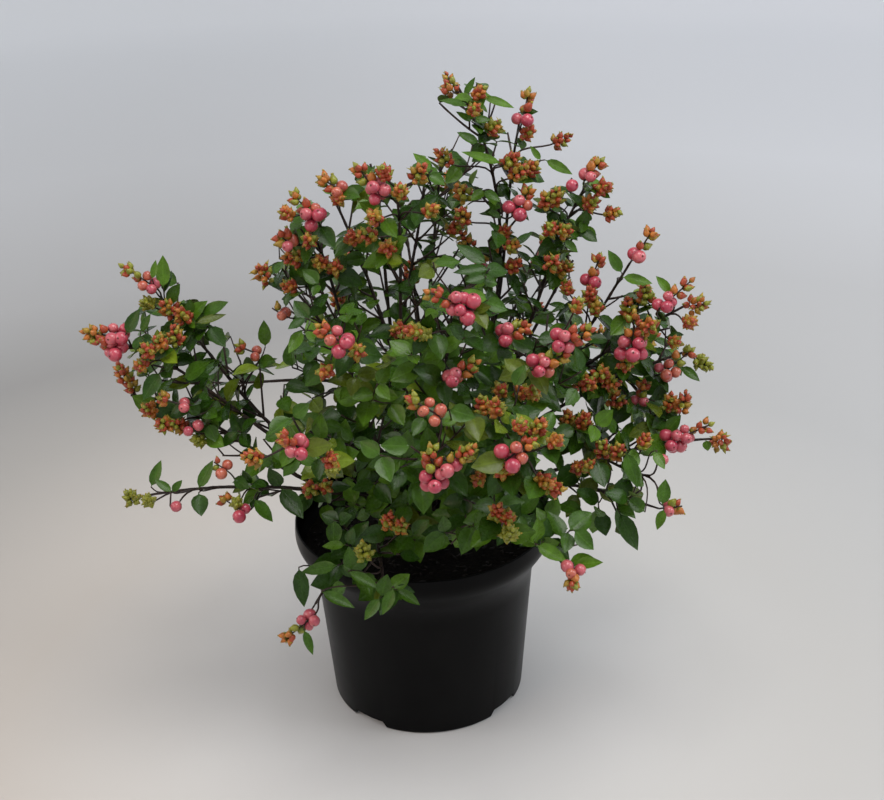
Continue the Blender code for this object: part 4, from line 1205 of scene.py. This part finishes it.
def ball_template(sides, rings):
    """A unit ball about the z axis, as points and faces."""
    points = [(0.0, 0.0, -1.0)]
    for r in range(1, rings):
        a = -math.pi / 2 + math.pi * r / rings
        for s in range(sides):
            b = 2 * math.pi * s / sides
            points.append((math.cos(a) * math.cos(b), math.cos(a) * math.sin(b), math.sin(a)))
    points.append((0.0, 0.0, 1.0))
    return np.array(points), turned_faces(sides, rings - 1)


def rings_along(points, widths):
    """Rings of a limb, each set square to its line; widths has a row for each ring."""
    tangents = np.gradient(points, axis=0)
    tangents /= np.linalg.norm(tangents, axis=1)[:, None]
    level = across(tangents[0], 0)
    sides = widths.shape[1]
    angles = np.arange(sides) * 2 * math.pi / sides
    rings = []
    for point, tangent, width in zip(points, tangents, widths):
        level = unit(level - tangent * level.dot(tangent))
        other = np.cross(tangent, level)
        ring = level * np.cos(angles)[:, None] + other * np.sin(angles)[:, None]
        rings.append(point + ring * width[:, None])
    return rings


def skin(rings):
    """Points and faces of rings of equal count, with a face at each end."""
    sides, count = len(rings[0]), len(rings)
    faces = []
    for r in range(count - 1):
        for s in range(sides):
            a, b = r * sides + s, r * sides + (s + 1) % sides
            faces.append((a, b, b + sides, a + sides))
    faces.append(tuple(reversed(range(sides))))
    faces.append(tuple(range((count - 1) * sides, count * sides)))
    return np.concatenate(rings), faces


def woody(points, wood, sides, step, seed, relief=0.06, node_gap=0.030):
    """A limb with the relief of its bark, and a swollen ring with two buds at each node."""
    size = length_of(points)
    count = max(4, int(size / step) + 1)
    run = np.linspace(0, size, count)[:, None]
    angle = (np.arange(sides) * 2 * math.pi / sides)[None]
    base = np.linspace(wood[0], wood[1], count)[:, None]
    rough = relief * np.sin(3 * angle + 210 * run + seed)
    rough = rough + relief * 0.7 * np.sin(5 * angle - 730 * run + 2 * seed)
    rough = rough + relief * 0.6 * np.sin(1450 * run + 2 * angle + seed * 3)
    nearest = (run + 0.37 * node_gap) % node_gap - node_gap / 2
    number = np.floor((run + 0.37 * node_gap) / node_gap)
    ring = np.exp(-((nearest / 0.0011) ** 2))
    bump = ring * (0.22 + 0.30 * np.maximum(0, np.cos(2 * (angle - number * math.pi / 2 - seed))) ** 4)
    return skin(rings_along(spaced(points, count), base * (1 + rough + bump)))


def leaf_template():
    """Spots, sides, flags, faces and finishes of a leaf with an upper and an under skin.

    A spot is a share along, a share across and its column. Flag 1 marks the rim and 2 the midrib.
    """
    rows, columns = len(LEAF_ROWS), len(LEAF_COLUMNS)
    spots, under, flags, below = [], [], [], {}

    def add_spot(along, half, column, beneath, flag):
        spots.append((along, column * half, column))
        under.append(beneath)
        flags.append(flag)

    def top(r, c):
        return r * columns + c

    def low(r, c):
        return below.get((r, c), top(r, c))

    for along, half in LEAF_ROWS:
        for c, column in enumerate(LEAF_COLUMNS):
            flag = 1 if c in (0, columns - 1) else 2 if c == columns // 2 else 0
            add_spot(along, half, column, 0, flag)
    tip = len(spots)
    add_spot(1.0, 0.0, 0.0, 0, 3)
    for r, (along, half) in enumerate(LEAF_ROWS):
        for c in range(1, columns - 1):
            below[r, c] = len(spots)
            add_spot(along, half, LEAF_COLUMNS[c], 1, 0)
    faces = []
    for r in range(rows - 1):
        for c in range(columns - 1):
            faces.append((top(r, c), top(r, c + 1), top(r + 1, c + 1), top(r + 1, c)))
            faces.append((low(r, c), low(r + 1, c), low(r + 1, c + 1), low(r, c + 1)))
    for c in range(columns - 1):
        faces.append((top(rows - 1, c), top(rows - 1, c + 1), tip))
        faces.append((low(rows - 1, c), tip, low(rows - 1, c + 1)))
    finishes = [k % 2 for k in range(len(faces))]
    faces.append((*(low(0, c) for c in range(columns)), *(top(0, c) for c in range(columns - 2, 0, -1))))
    finishes.append(1)
    return np.array(spots), np.array(under), np.array(flags), faces, finishes


def leaf_points(leaf, spots, under):
    """The template bent to one leaf: folded up from its midrib, and drooping to its tip."""
    side = np.cross(leaf.along, leaf.face)
    along, off, column = spots.T
    lift = leaf.fold * leaf.width / 2 * np.abs(off) ** 1.2
    lift = lift - leaf.droop * leaf.length * along**2
    lift = lift - LEAF_WAVE * leaf.width * np.sin(np.abs(column) * math.pi) - under * LEAF_THICK
    return (
        leaf.root
        + leaf.along * (along * leaf.length)[:, None]
        + side * (off * leaf.width / 2)[:, None]
        + leaf.face * lift[:, None]
    )


def turned_to(ahead):
    """Axes whose third looks ahead, as the rows of a matrix."""
    side = across(ahead, 0)
    return np.array((side, np.cross(ahead, side), ahead))


def berry_points(ball, template, rng):
    """A berry a little wider than long, puckered round its calyx and its stalk."""
    x, y, z = template.T
    pucker = np.where(z > 0.9, 0.93, 1.0) * np.where(z < -0.9, 0.97, 1.0)
    local = np.stack([x, y * rng.uniform(0.94, 1.0), z * 0.97 * pucker], axis=1)
    return ball.centre + (local * ball.radius) @ turned_to(ball.ahead)


def calyx(ball):
    """The calyx left on a berry: a short ring of five teeth."""
    top, inner, outer = (ball.radius * share for share in (0.88, 0.10, 0.20))
    points, faces = [(0, 0, top)], []
    for k in range(10):
        a = math.pi * k / 5
        reach, rise = (outer, top + ball.radius * 0.14) if k % 2 == 0 else (inner, top + ball.radius * 0.05)
        points.append((math.cos(a) * reach, math.sin(a) * reach, rise))
    points.append((0, 0, top + ball.radius * 0.03))
    for k in range(10):
        a, b = 1 + k, 1 + (k + 1) % 10
        faces += [(0, b, a), (11, a, b)]
    return ball.centre + np.array(points) @ turned_to(ball.ahead), faces


def blade_shape(blade):
    """A small pointed bract, sepal or chip, closed and a little thick."""
    side = np.cross(blade.ahead, blade.face) * blade.width / 2
    rise = blade.face * blade.width * 0.12
    middle = blade.root + blade.ahead * blade.length * 0.45
    tip = blade.root + blade.ahead * blade.length
    points = (blade.root, middle + side, tip, middle - side, middle + rise, middle - rise)
    faces = [(0, 1, 4), (1, 2, 4), (2, 3, 4), (3, 0, 4), (1, 0, 5), (2, 1, 5), (3, 2, 5), (0, 3, 5)]
    return np.array(points), faces


# Looks.
class Look:
    """A new material and the nodes that its colour, its shine and its relief are made of."""

    def __init__(self, name, roughness, specular=0.5, coat=0.0, soft=0.0):
        self.material = bpy.data.materials.new(name)
        self.material.use_nodes = True
        self.tree = self.material.node_tree
        self.shader = self.tree.nodes["Principled BSDF"]
        self.set("Roughness", roughness)
        self.set("Specular IOR Level", specular)
        self.set("Coat Weight", coat)
        if soft:
            self.set("Subsurface Weight", soft)
            self.set("Subsurface Radius", (0.004, 0.002, 0.0015))
            self.set("Subsurface Scale", 1.0)

    def feed(self, socket, value):
        """Links an output to a socket, or sets the socket to a plain value."""
        if isinstance(value, bpy.types.NodeSocket):
            self.tree.links.new(value, socket)
        else:
            socket.default_value = value

    def set(self, socket, value):
        self.feed(self.shader.inputs[socket], value)

    def node(self, kind, inputs, **settings):
        made = self.tree.nodes.new(kind)
        for setting, value in settings.items():
            setattr(made, setting, value)
        for socket, value in inputs.items():
            self.feed(made.inputs[socket], value)
        return made

    def coordinates(self, kind):
        return self.node("ShaderNodeTexCoord", {}).outputs[kind]

    def parts(self, vector):
        return self.node("ShaderNodeSeparateXYZ", {"Vector": vector}).outputs

    def noise(self, scale, detail=3.0, stretch=None):
        """A noise in metres of the part's own frame."""
        spot = self.coordinates("Object")
        if stretch:
            spot = self.node("ShaderNodeMapping", {"Scale": stretch, "Vector": spot}).outputs["Vector"]
        inputs = {"Scale": scale, "Detail": detail, "Vector": spot}
        return self.node("ShaderNodeTexNoise", inputs).outputs["Fac"]

    def ramp(self, value, *stops):
        """A colour ramp over a value; stops are (position, colour)."""
        made = self.node("ShaderNodeValToRGB", {"Fac": value})
        elements = made.color_ramp.elements
        while len(elements) < len(stops):
            elements.new(0.5)
        for element, (position, colour) in zip(elements, stops):
            element.position = position
            element.color = (*colour, 1.0)
        return made.outputs["Color"]

    def spread(self, value, low, high):
        inputs = {"To Min": low, "To Max": high, "Value": value}
        return self.node("ShaderNodeMapRange", inputs).outputs["Result"]

    def maths(self, operation, *values):
        return self.node("ShaderNodeMath", dict(enumerate(values)), operation=operation).outputs["Value"]

    def blend(self, share, first, second):
        inputs = {"Factor": share, "A": first, "B": second}
        return self.node("ShaderNodeMix", inputs, data_type="RGBA").outputs["Result"]

    def bump(self, height, strength, distance):
        inputs = {"Strength": strength, "Distance": distance, "Height": height}
        self.set("Normal", self.node("ShaderNodeBump", inputs).outputs["Normal"])

    def veins(self):
        """Midrib and side veins over a leaf's own map, from 0 to 1."""
        parts = self.parts(self.coordinates("UV"))
        off = self.maths("ABSOLUTE", self.maths("SUBTRACT", parts["X"], 0.5))
        rib = self.maths("GREATER_THAN", 0.030, off)
        run = self.maths("SUBTRACT", parts["Y"], self.maths("MULTIPLY", off, 0.55))
        wave = self.maths("SINE", self.maths("MULTIPLY", run, 44.0))
        side = self.maths("MULTIPLY", self.maths("GREATER_THAN", wave, 0.90), 0.45)
        return self.maths("MAXIMUM", rib, side)


def scaled(colour, *factors):
    """A colour times one factor, or times one for each of its parts."""
    return tuple(min(1.0, part * factors[k % len(factors)]) for k, part in enumerate(colour))


def leaf_look(name, colour, roughness, vein_colour):
    look = Look(name, roughness, specular=0.26)
    body = look.ramp(look.noise(120.0), (0.30, scaled(colour, 0.78)), (0.70, scaled(colour, 1.25)))
    pattern = look.veins()
    look.set("Base Color", look.blend(look.maths("MULTIPLY", pattern, 0.40), body, (*vein_colour, 1.0)))
    look.set("Roughness", look.spread(look.noise(300.0), roughness - 0.08, roughness + 0.10))
    look.bump(look.maths("ADD", pattern, look.noise(700.0)), 0.35, 0.0003)
    return look


def bark_look(name, dark, light, roughness=0.7):
    look = Look(name, roughness, specular=0.35)
    streaks = look.noise(500.0, detail=5.0, stretch=(1.0, 1.0, 0.25))
    look.set("Base Color", look.ramp(streaks, (0.32, dark), (0.68, light)))
    look.set("Roughness", look.spread(streaks, roughness - 0.15, roughness + 0.15))
    look.bump(streaks, 0.5, 0.0004)
    return look


def berry_look(name, colour):
    look = Look(name, 0.30, specular=0.5, coat=0.55, soft=0.10)
    look.set("Coat Roughness", 0.08)
    deep, warm = scaled(colour, 0.82, 0.62, 0.80), scaled(colour, 1.12, 1.35, 1.25)
    blush = look.noise(110.0, detail=2.0)
    look.set("Base Color", look.ramp(blush, (0.34, deep), (0.50, colour), (0.66, warm)))
    look.set("Roughness", look.spread(look.noise(600.0), 0.24, 0.42))
    return look


def small_look(name, colour, other, roughness, scale=260.0):
    look = Look(name, roughness, specular=0.45)
    look.set("Base Color", look.ramp(look.noise(scale), (0.36, colour), (0.64, other)))
    look.bump(look.noise(1500.0), 0.2, 0.0002)
    return look


def plastic_look(name, specular):
    """Black moulded plastic: satin, a little dusty, finely grained and scuffed."""
    look = Look(name, 0.4, specular=specular)
    dust = look.noise(14.0, detail=6.0)
    black, grey = (0.0014, 0.0014, 0.0015), (0.0036, 0.0035, 0.0034)
    look.set("Base Color", look.ramp(dust, (0.35, black), (0.75, grey)))
    look.set("Roughness", look.spread(look.noise(30.0, detail=5.0), 0.28, 0.44))
    runs = look.noise(60.0, detail=4.0, stretch=(1.0, 1.0, 0.08))
    look.bump(look.maths("ADD", look.noise(900.0, detail=2.0), runs), 0.12, 0.0004)
    return look


def earth_look():
    look = Look("compost_look", 0.95, specular=0.15)
    crumbs = look.noise(240.0, detail=8.0)
    moist, dry = (0.0025, 0.0020, 0.0016), (0.012, 0.0085, 0.0060)
    look.set("Base Color", look.ramp(crumbs, (0.35, moist), (0.70, dry)))
    look.bump(crumbs, 0.9, 0.003)
    return look


# The pot.
def pot_wall(height):
    """The pot's outer radius at a height."""
    heights = (0.0, COLLAR_FOOT_HEIGHT, COLLAR_SHOULDER_HEIGHT, POT_HEIGHT)
    radii = (BASE_RADIUS, COLLAR_FOOT_RADIUS, RIM_RADIUS + RIM_BULGE, RIM_RADIUS)
    return float(np.interp(height, heights, radii))


def rounded(corners, radii, steps=7):
    """A profile with each of its inner corners rounded by its own radius."""
    made = [np.array(corners[0], float)]
    for before, corner, after, radius in zip(corners, corners[1:], corners[2:], radii):
        before, corner, after = (np.array(p, float) for p in (before, corner, after))
        reach = min(radius, np.linalg.norm(before - corner) * 0.48, np.linalg.norm(after - corner) * 0.48)
        start, end = corner + unit(before - corner) * reach, corner + unit(after - corner) * reach
        made += list(bezier(start, corner, end, count=steps))
    made.append(np.array(corners[-1], float))
    return made


def notch_block(bearing, grow):
    """A block at a notch of the pot's foot, grown by a thickness on its inner end, sides and top."""
    outward = heading(bearing, 0)
    side = np.cross(UP, outward)
    low, high = NOTCH_WIDTH / 2 + grow, NOTCH_TOP_WIDTH / 2 + grow
    top = NOTCH_HEIGHT + grow
    corners = ((-low, -NOTCH_BELOW), (low, -NOTCH_BELOW), (high, top), (-high, top))
    reaches = (BASE_RADIUS - NOTCH_DEPTH - grow, BASE_RADIUS + NOTCH_PAST)
    rings = [np.array([outward * r + side * a + UP * up for a, up in corners]) for r in reaches]
    points, faces = skin(rings)
    return linked("notch", mesh_of("notch", points, faces))


def notched(name, mesh, grow):
    """A mesh with the pot's notches cut out of it."""
    made = linked(name, mesh)
    blocks = [notch_block(bearing, grow) for bearing in NOTCH_BEARINGS]
    for block in blocks:
        cut = made.modifiers.new("notch", "BOOLEAN")
        cut.operation = "DIFFERENCE"
        cut.object = block
    result = bpy.data.meshes.new_from_object(made.evaluated_get(bpy.context.evaluated_depsgraph_get()))
    for old in [made, *blocks]:
        bpy.data.objects.remove(old)
    result.name = name
    return result


def make_pot():
    """A thin-walled pot with a flared collar and notches at its foot."""
    profile = [(0, 0), (BASE_RADIUS, 0), (pot_wall(COLLAR_FOOT_HEIGHT), COLLAR_FOOT_HEIGHT)]
    profile += [(pot_wall(COLLAR_SHOULDER_HEIGHT), COLLAR_SHOULDER_HEIGHT)]
    profile += [(RIM_RADIUS, POT_HEIGHT), (RIM_RADIUS - WALL, POT_HEIGHT)]
    profile += [(pot_wall(h) - WALL, h) for h in (COLLAR_SHOULDER_HEIGHT, COLLAR_FOOT_HEIGHT)]
    profile += [(BASE_RADIUS - WALL, FLOOR), (0, FLOOR)]
    mesh = notched("pot_shell", turned("pot_shell", rounded(profile, POT_ROUNDINGS), POT_SIDES), 0)
    mesh.shade_smooth()
    mesh.set_sharp_from_angle(angle=math.radians(30))
    outer, inner = plastic_look("pot_plastic_look", 0.085), plastic_look("pot_inside_look", 0.03)
    piece("pot_shell", mesh, [outer, inner], ["pot"])
    faces_in = [int(f.normal.x * f.center.x + f.normal.y * f.center.y < 0) for f in mesh.polygons]
    mesh.polygons.foreach_set("material_index", faces_in)


def waves(x, y):
    """A smooth roughness from a few crossed sines, between about -1 and 1."""
    rng = random.Random(WAVE_SEED)
    total = 0
    for k in range(7):
        a, f = rng.uniform(0, 2 * math.pi), 60 * 1.45**k
        total = total + np.sin((x * math.cos(a) + y * math.sin(a)) * f + rng.uniform(0, 6)) / (1 + 0.5 * k)
    return total / 3.2


def make_compost():
    """The root ball: crumbled on top, where it shows, with chips of bark lying on it."""
    edge = pot_wall(COMPOST_EDGE) - WALL - 3 * GAP

    def heap(radius):
        return float(np.interp(radius, (COMPOST_FLAT, edge), (COMPOST_TOP, COMPOST_EDGE)))

    profile = [(0.0, FLOOR + GAP), (BASE_RADIUS - WALL - 2 * GAP, FLOOR + GAP)]
    profile += [(COLLAR_FOOT_RADIUS - WALL - 2 * GAP, COLLAR_FOOT_HEIGHT)]
    radii = [edge * (1 - k / COMPOST_ROWS) for k in range(COMPOST_ROWS)]
    profile += [(radius, heap(radius)) for radius in radii] + [(0.0, COMPOST_TOP)]
    mesh = turned("compost_heap", profile, COMPOST_SIDES)
    points = np.array([v.co for v in mesh.vertices])
    top = points[:, 2] > COMPOST_EDGE - 1e-6
    calm = np.clip((edge - np.hypot(points[:, 0], points[:, 1])) / HEAP_CALM, 0, 1)
    points[top, 2] += (waves(points[:, 0], points[:, 1]) * HEAP_RELIEF * calm)[top] - 0.001
    mesh.vertices.foreach_set("co", points.ravel())
    mesh = notched("compost_heap", mesh, COMPOST_NOTCH)
    mesh.shade_smooth()
    mesh.set_sharp_from_angle(angle=math.radians(40))
    piece("compost_heap", mesh, [earth_look()], ["compost"])
    rng = random.Random(CHIP_SEED)
    pile = Pile()
    for _ in range(CHIPS):
        radius, a = (edge - HEAP_CALM) * math.sqrt(rng.random()), rng.uniform(0, 2 * math.pi)
        x, y = radius * math.cos(a), radius * math.sin(a)
        if radius < CHIPS_FROM:
            continue
        spot = np.array((x, y, heap(radius) + float(waves(x, y)) * HEAP_RELIEF))
        ahead = heading(rng.uniform(0, 360), rng.uniform(-20, 20))
        length, width = rng.uniform(*CHIP_LENGTH), rng.uniform(*CHIP_WIDTH)
        pile.add(*blade_shape(Blade(spot, ahead, across(ahead, 90), length, width)))
    chips = small_look("chip_look", (0.006, 0.0042, 0.0032), (0.020, 0.014, 0.010), 0.9)
    piece("compost_chips", pile, [chips], ["compost"])


# The wood.
def make_wood():
    """The stem, the boughs, each a piece, and the masses' stems and twigs joined in two."""
    bark = bark_look("bark_look", (0.011, 0.0070, 0.0060), (0.046, 0.027, 0.020))
    young = bark_look("twig_look", (0.014, 0.0085, 0.007), (0.058, 0.031, 0.022), 0.55)
    sides = 48
    angles = np.arange(sides) * 2 * math.pi / sides
    levels, radii, lobes = zip(*STEM_RINGS)
    rings = []
    for height in np.linspace(0, STEM_HEIGHT, 40):
        radius, lobe = np.interp(height, levels, radii), np.interp(height, levels, lobes)
        rough = 0.03 * np.sin(9 * angles + 120 * height) + 0.02 * np.sin(17 * angles - 300 * height)
        width = (radius + lobe * np.cos(FLARE_LOBES * angles)) * (1 + rough)
        ring = np.stack([width * np.cos(angles), width * np.sin(angles), np.zeros(sides)], axis=1)
        rings.append(ring + UP * (COMPOST_TOP + GAP + height))
    pile = Pile()
    pile.add(*skin(rings))
    piece("stem_bark", pile, [bark], ["stem"])
    for k, (name, line) in enumerate(BOUGH_LINES.items()):
        start = line[0] - unit(line[1] - line[0]) * 0.003
        pile = Pile()
        pile.add(*woody(np.concatenate([[start], line]), BOUGH_WOOD, 14, 0.0022, k))
        piece(f"limb_{name}", pile, [bark], [f"bough_{name}"])
    stems, twigs = Pile(), Pile()
    for k, twig in enumerate(TWIGS):
        if twig.wood is STEM_WOOD:
            stems.add(*woody(twig.points, twig.wood, 10, 0.0032, k))
        else:
            twigs.add(*woody(twig.points, twig.wood, 6, 0.0065, k, relief=0.03, node_gap=LEAF_SPACING))
    piece("stems", stems, [bark], FOLIAGE_NODES)
    piece("twigs", twigs, [young], FOLIAGE_NODES)


# The foliage and the fruit.
def make_foliage():
    spots, under, flags, faces, finishes = leaf_template()
    uvs = np.stack([spots[:, 2] * 0.5 + 0.5, spots[:, 0]], axis=1)
    for tint, (upper, lower, _) in TINTS.items():
        pile = Pile()
        for leaf in LEAVES:
            if leaf.tint == tint:
                pile.add(leaf_points(leaf, spots, under), faces, finishes, uvs, flags)
        looks = [
            leaf_look(f"leaf_{tint}", scaled(upper, 0.98), 0.27, scaled(upper, 1.7)),
            leaf_look(f"underleaf_{tint}", lower, 0.62, scaled(lower, 1.4)),
        ]
        piece(f"leaves_{tint}", pile, looks, FOLIAGE_NODES)


def make_fruit():
    rng = random.Random(FRUIT_SEED)
    template, faces = ball_template(BERRY_SIDES, BERRY_RINGS)
    calyxes = Pile()
    for tint, colour in BERRY_TINTS.items():
        pile = Pile()
        for ball in BERRIES:
            if ball.tint == tint:
                pile.add(berry_points(ball, template, rng), faces)
                calyxes.add(*calyx(ball))
        piece(f"berries_{tint}", pile, [berry_look(f"berry_{tint}", colour)], FOLIAGE_NODES)
    small, small_faces = ball_template(BUD_SIDES, BUD_RINGS)
    small = small * (1.0, 1.0, 1.15) * np.where(small[:, 2:] > 0.4, (0.78, 0.78, 1.12), 1.0)
    foot = [1 if np.mean([small[i][2] for i in face]) < -0.35 else 0 for face in small_faces]
    for tint, (cheek, under) in BUD_TINTS.items():
        pile = Pile()
        for ball in BUDS:
            if ball.tint == tint:
                pile.add(ball.centre + small * ball.radius @ turned_to(ball.ahead), small_faces, foot)
        looks = [
            small_look(f"bud_{tint}", scaled(cheek, 0.8), scaled(cheek, 1.3), 0.36),
            small_look(f"bud_foot_{tint}", scaled(under, 0.85), scaled(under, 1.2), 0.42),
        ]
        piece(f"buds_{tint}", pile, looks, FOLIAGE_NODES)
    pile = Pile()
    for blade in BLADES:
        pile.add(*blade_shape(blade))
    look = small_look("sepal_look", (0.200, 0.235, 0.022), (0.420, 0.290, 0.035), 0.5, scale=90.0)
    piece("sepals", pile, [look], FOLIAGE_NODES)
    look = small_look("calyx_look", (0.060, 0.022, 0.012), (0.150, 0.050, 0.025), 0.6)
    piece("calyxes", calyxes, [look], FOLIAGE_NODES)


# The studio.
def make_camera():
    data = bpy.data.cameras.new("camera")
    data.sensor_fit = "HORIZONTAL"
    data.sensor_width = SENSOR_MM
    data.lens = FOCAL_PIXELS / IMAGE_WIDTH * SENSOR_MM
    data.clip_start, data.clip_end = CLIP
    camera = linked("camera", data)
    turn = Matrix([[CAMERA_RIGHT[i], CAMERA_UP[i], -CAMERA_AHEAD[i]] for i in range(3)])
    camera.matrix_world = Matrix.Translation(CAMERA_AT) @ turn.to_4x4()
    bpy.context.scene.camera = camera


def painted_shading_paper_look():
    """Pale paper with painted light and shade: its tone changes with the distance from the pot, and from
    left to right.
    """
    look = Look("paper", 0.85, specular=0.2)
    spot = look.coordinates("Object")
    away = look.node("ShaderNodeVectorMath", {0: spot}, operation="LENGTH").outputs["Value"]
    drift = look.spread(look.noise(1.6, detail=1.0), -PAPER_DRIFT, PAPER_DRIFT)
    reach = look.maths("ADD", look.maths("DIVIDE", away, PAPER_REACH), drift)
    inputs = {"From Min": -PAPER_TURN, "From Max": PAPER_TURN, "Value": look.parts(spot)["X"]}
    sided = look.node("ShaderNodeMapRange", inputs, interpolation_type="SMOOTHSTEP").outputs["Result"]
    # Painted light and shade: lighter by the pot, a painted shadow band round it, darker on the left.
    look.set("Base Color", look.blend(sided, look.ramp(reach, *PAPER_LEFT_PAINTED_SHADING), look.ramp(reach, *PAPER_RIGHT_PAINTED_SHADING)))
    return look


def make_studio():
    """A round sweep of pale paper, a wide light above, a soft light on each side and a low warm one."""
    turns = np.linspace(0, 1.5, 16)
    profile = [(r, 0.0) for r in SWEEP_RINGS]
    profile += [(SWEEP_FLOOR + SWEEP_BEND * math.sin(a), SWEEP_BEND * (1 - math.cos(a))) for a in turns]
    profile += [(SWEEP_FLOOR + SWEEP_BEND, SWEEP_TOP)]
    angles = np.arange(SWEEP_SIDES) * 2 * math.pi / SWEEP_SIDES
    points = [(0.0, 0.0, 0.0)] + [(r * math.cos(a), r * math.sin(a), z) for r, z in profile for a in angles]
    faces = [face[::-1] for face in turned_faces(SWEEP_SIDES, len(profile), closed=False)]
    mesh = mesh_of("sweep", points, faces)
    mesh.shade_smooth()
    mesh.materials.append(painted_shading_paper_look().material)
    linked("sweep", mesh)

    world = bpy.data.worlds.new("studio")
    world.use_nodes = True
    sky = world.node_tree.nodes["Background"]
    sky.inputs["Color"].default_value = (*SKY, 1.0)
    sky.inputs["Strength"].default_value = SKY_STRENGTH
    bpy.context.scene.world = world
    for name, at, look_at, size, watts, colour in LIGHTS:
        data = bpy.data.lights.new(name, "AREA")
        data.shape = "SQUARE"
        data.size = size
        data.energy = watts
        data.color = colour
        light = linked(name, data)
        light.visible_camera = False
        axes = turned_to(-unit(np.subtract(look_at, at)))
        light.matrix_world = Matrix.Translation(at) @ Matrix(axes.T.tolist()).to_4x4()
    settings = bpy.context.scene.view_settings
    settings.view_transform = "Standard"
    settings.look = "None"
    settings.exposure = 0.0


make_camera()
make_studio()
grow()
make_leaves()
make_pot()
make_compost()
make_wood()
make_foliage()
make_fruit()
print(f"{len(TWIGS)} twigs, {len(LEAVES)} leaves, {len(BERRIES)} berries, {len(BUDS)} buds")
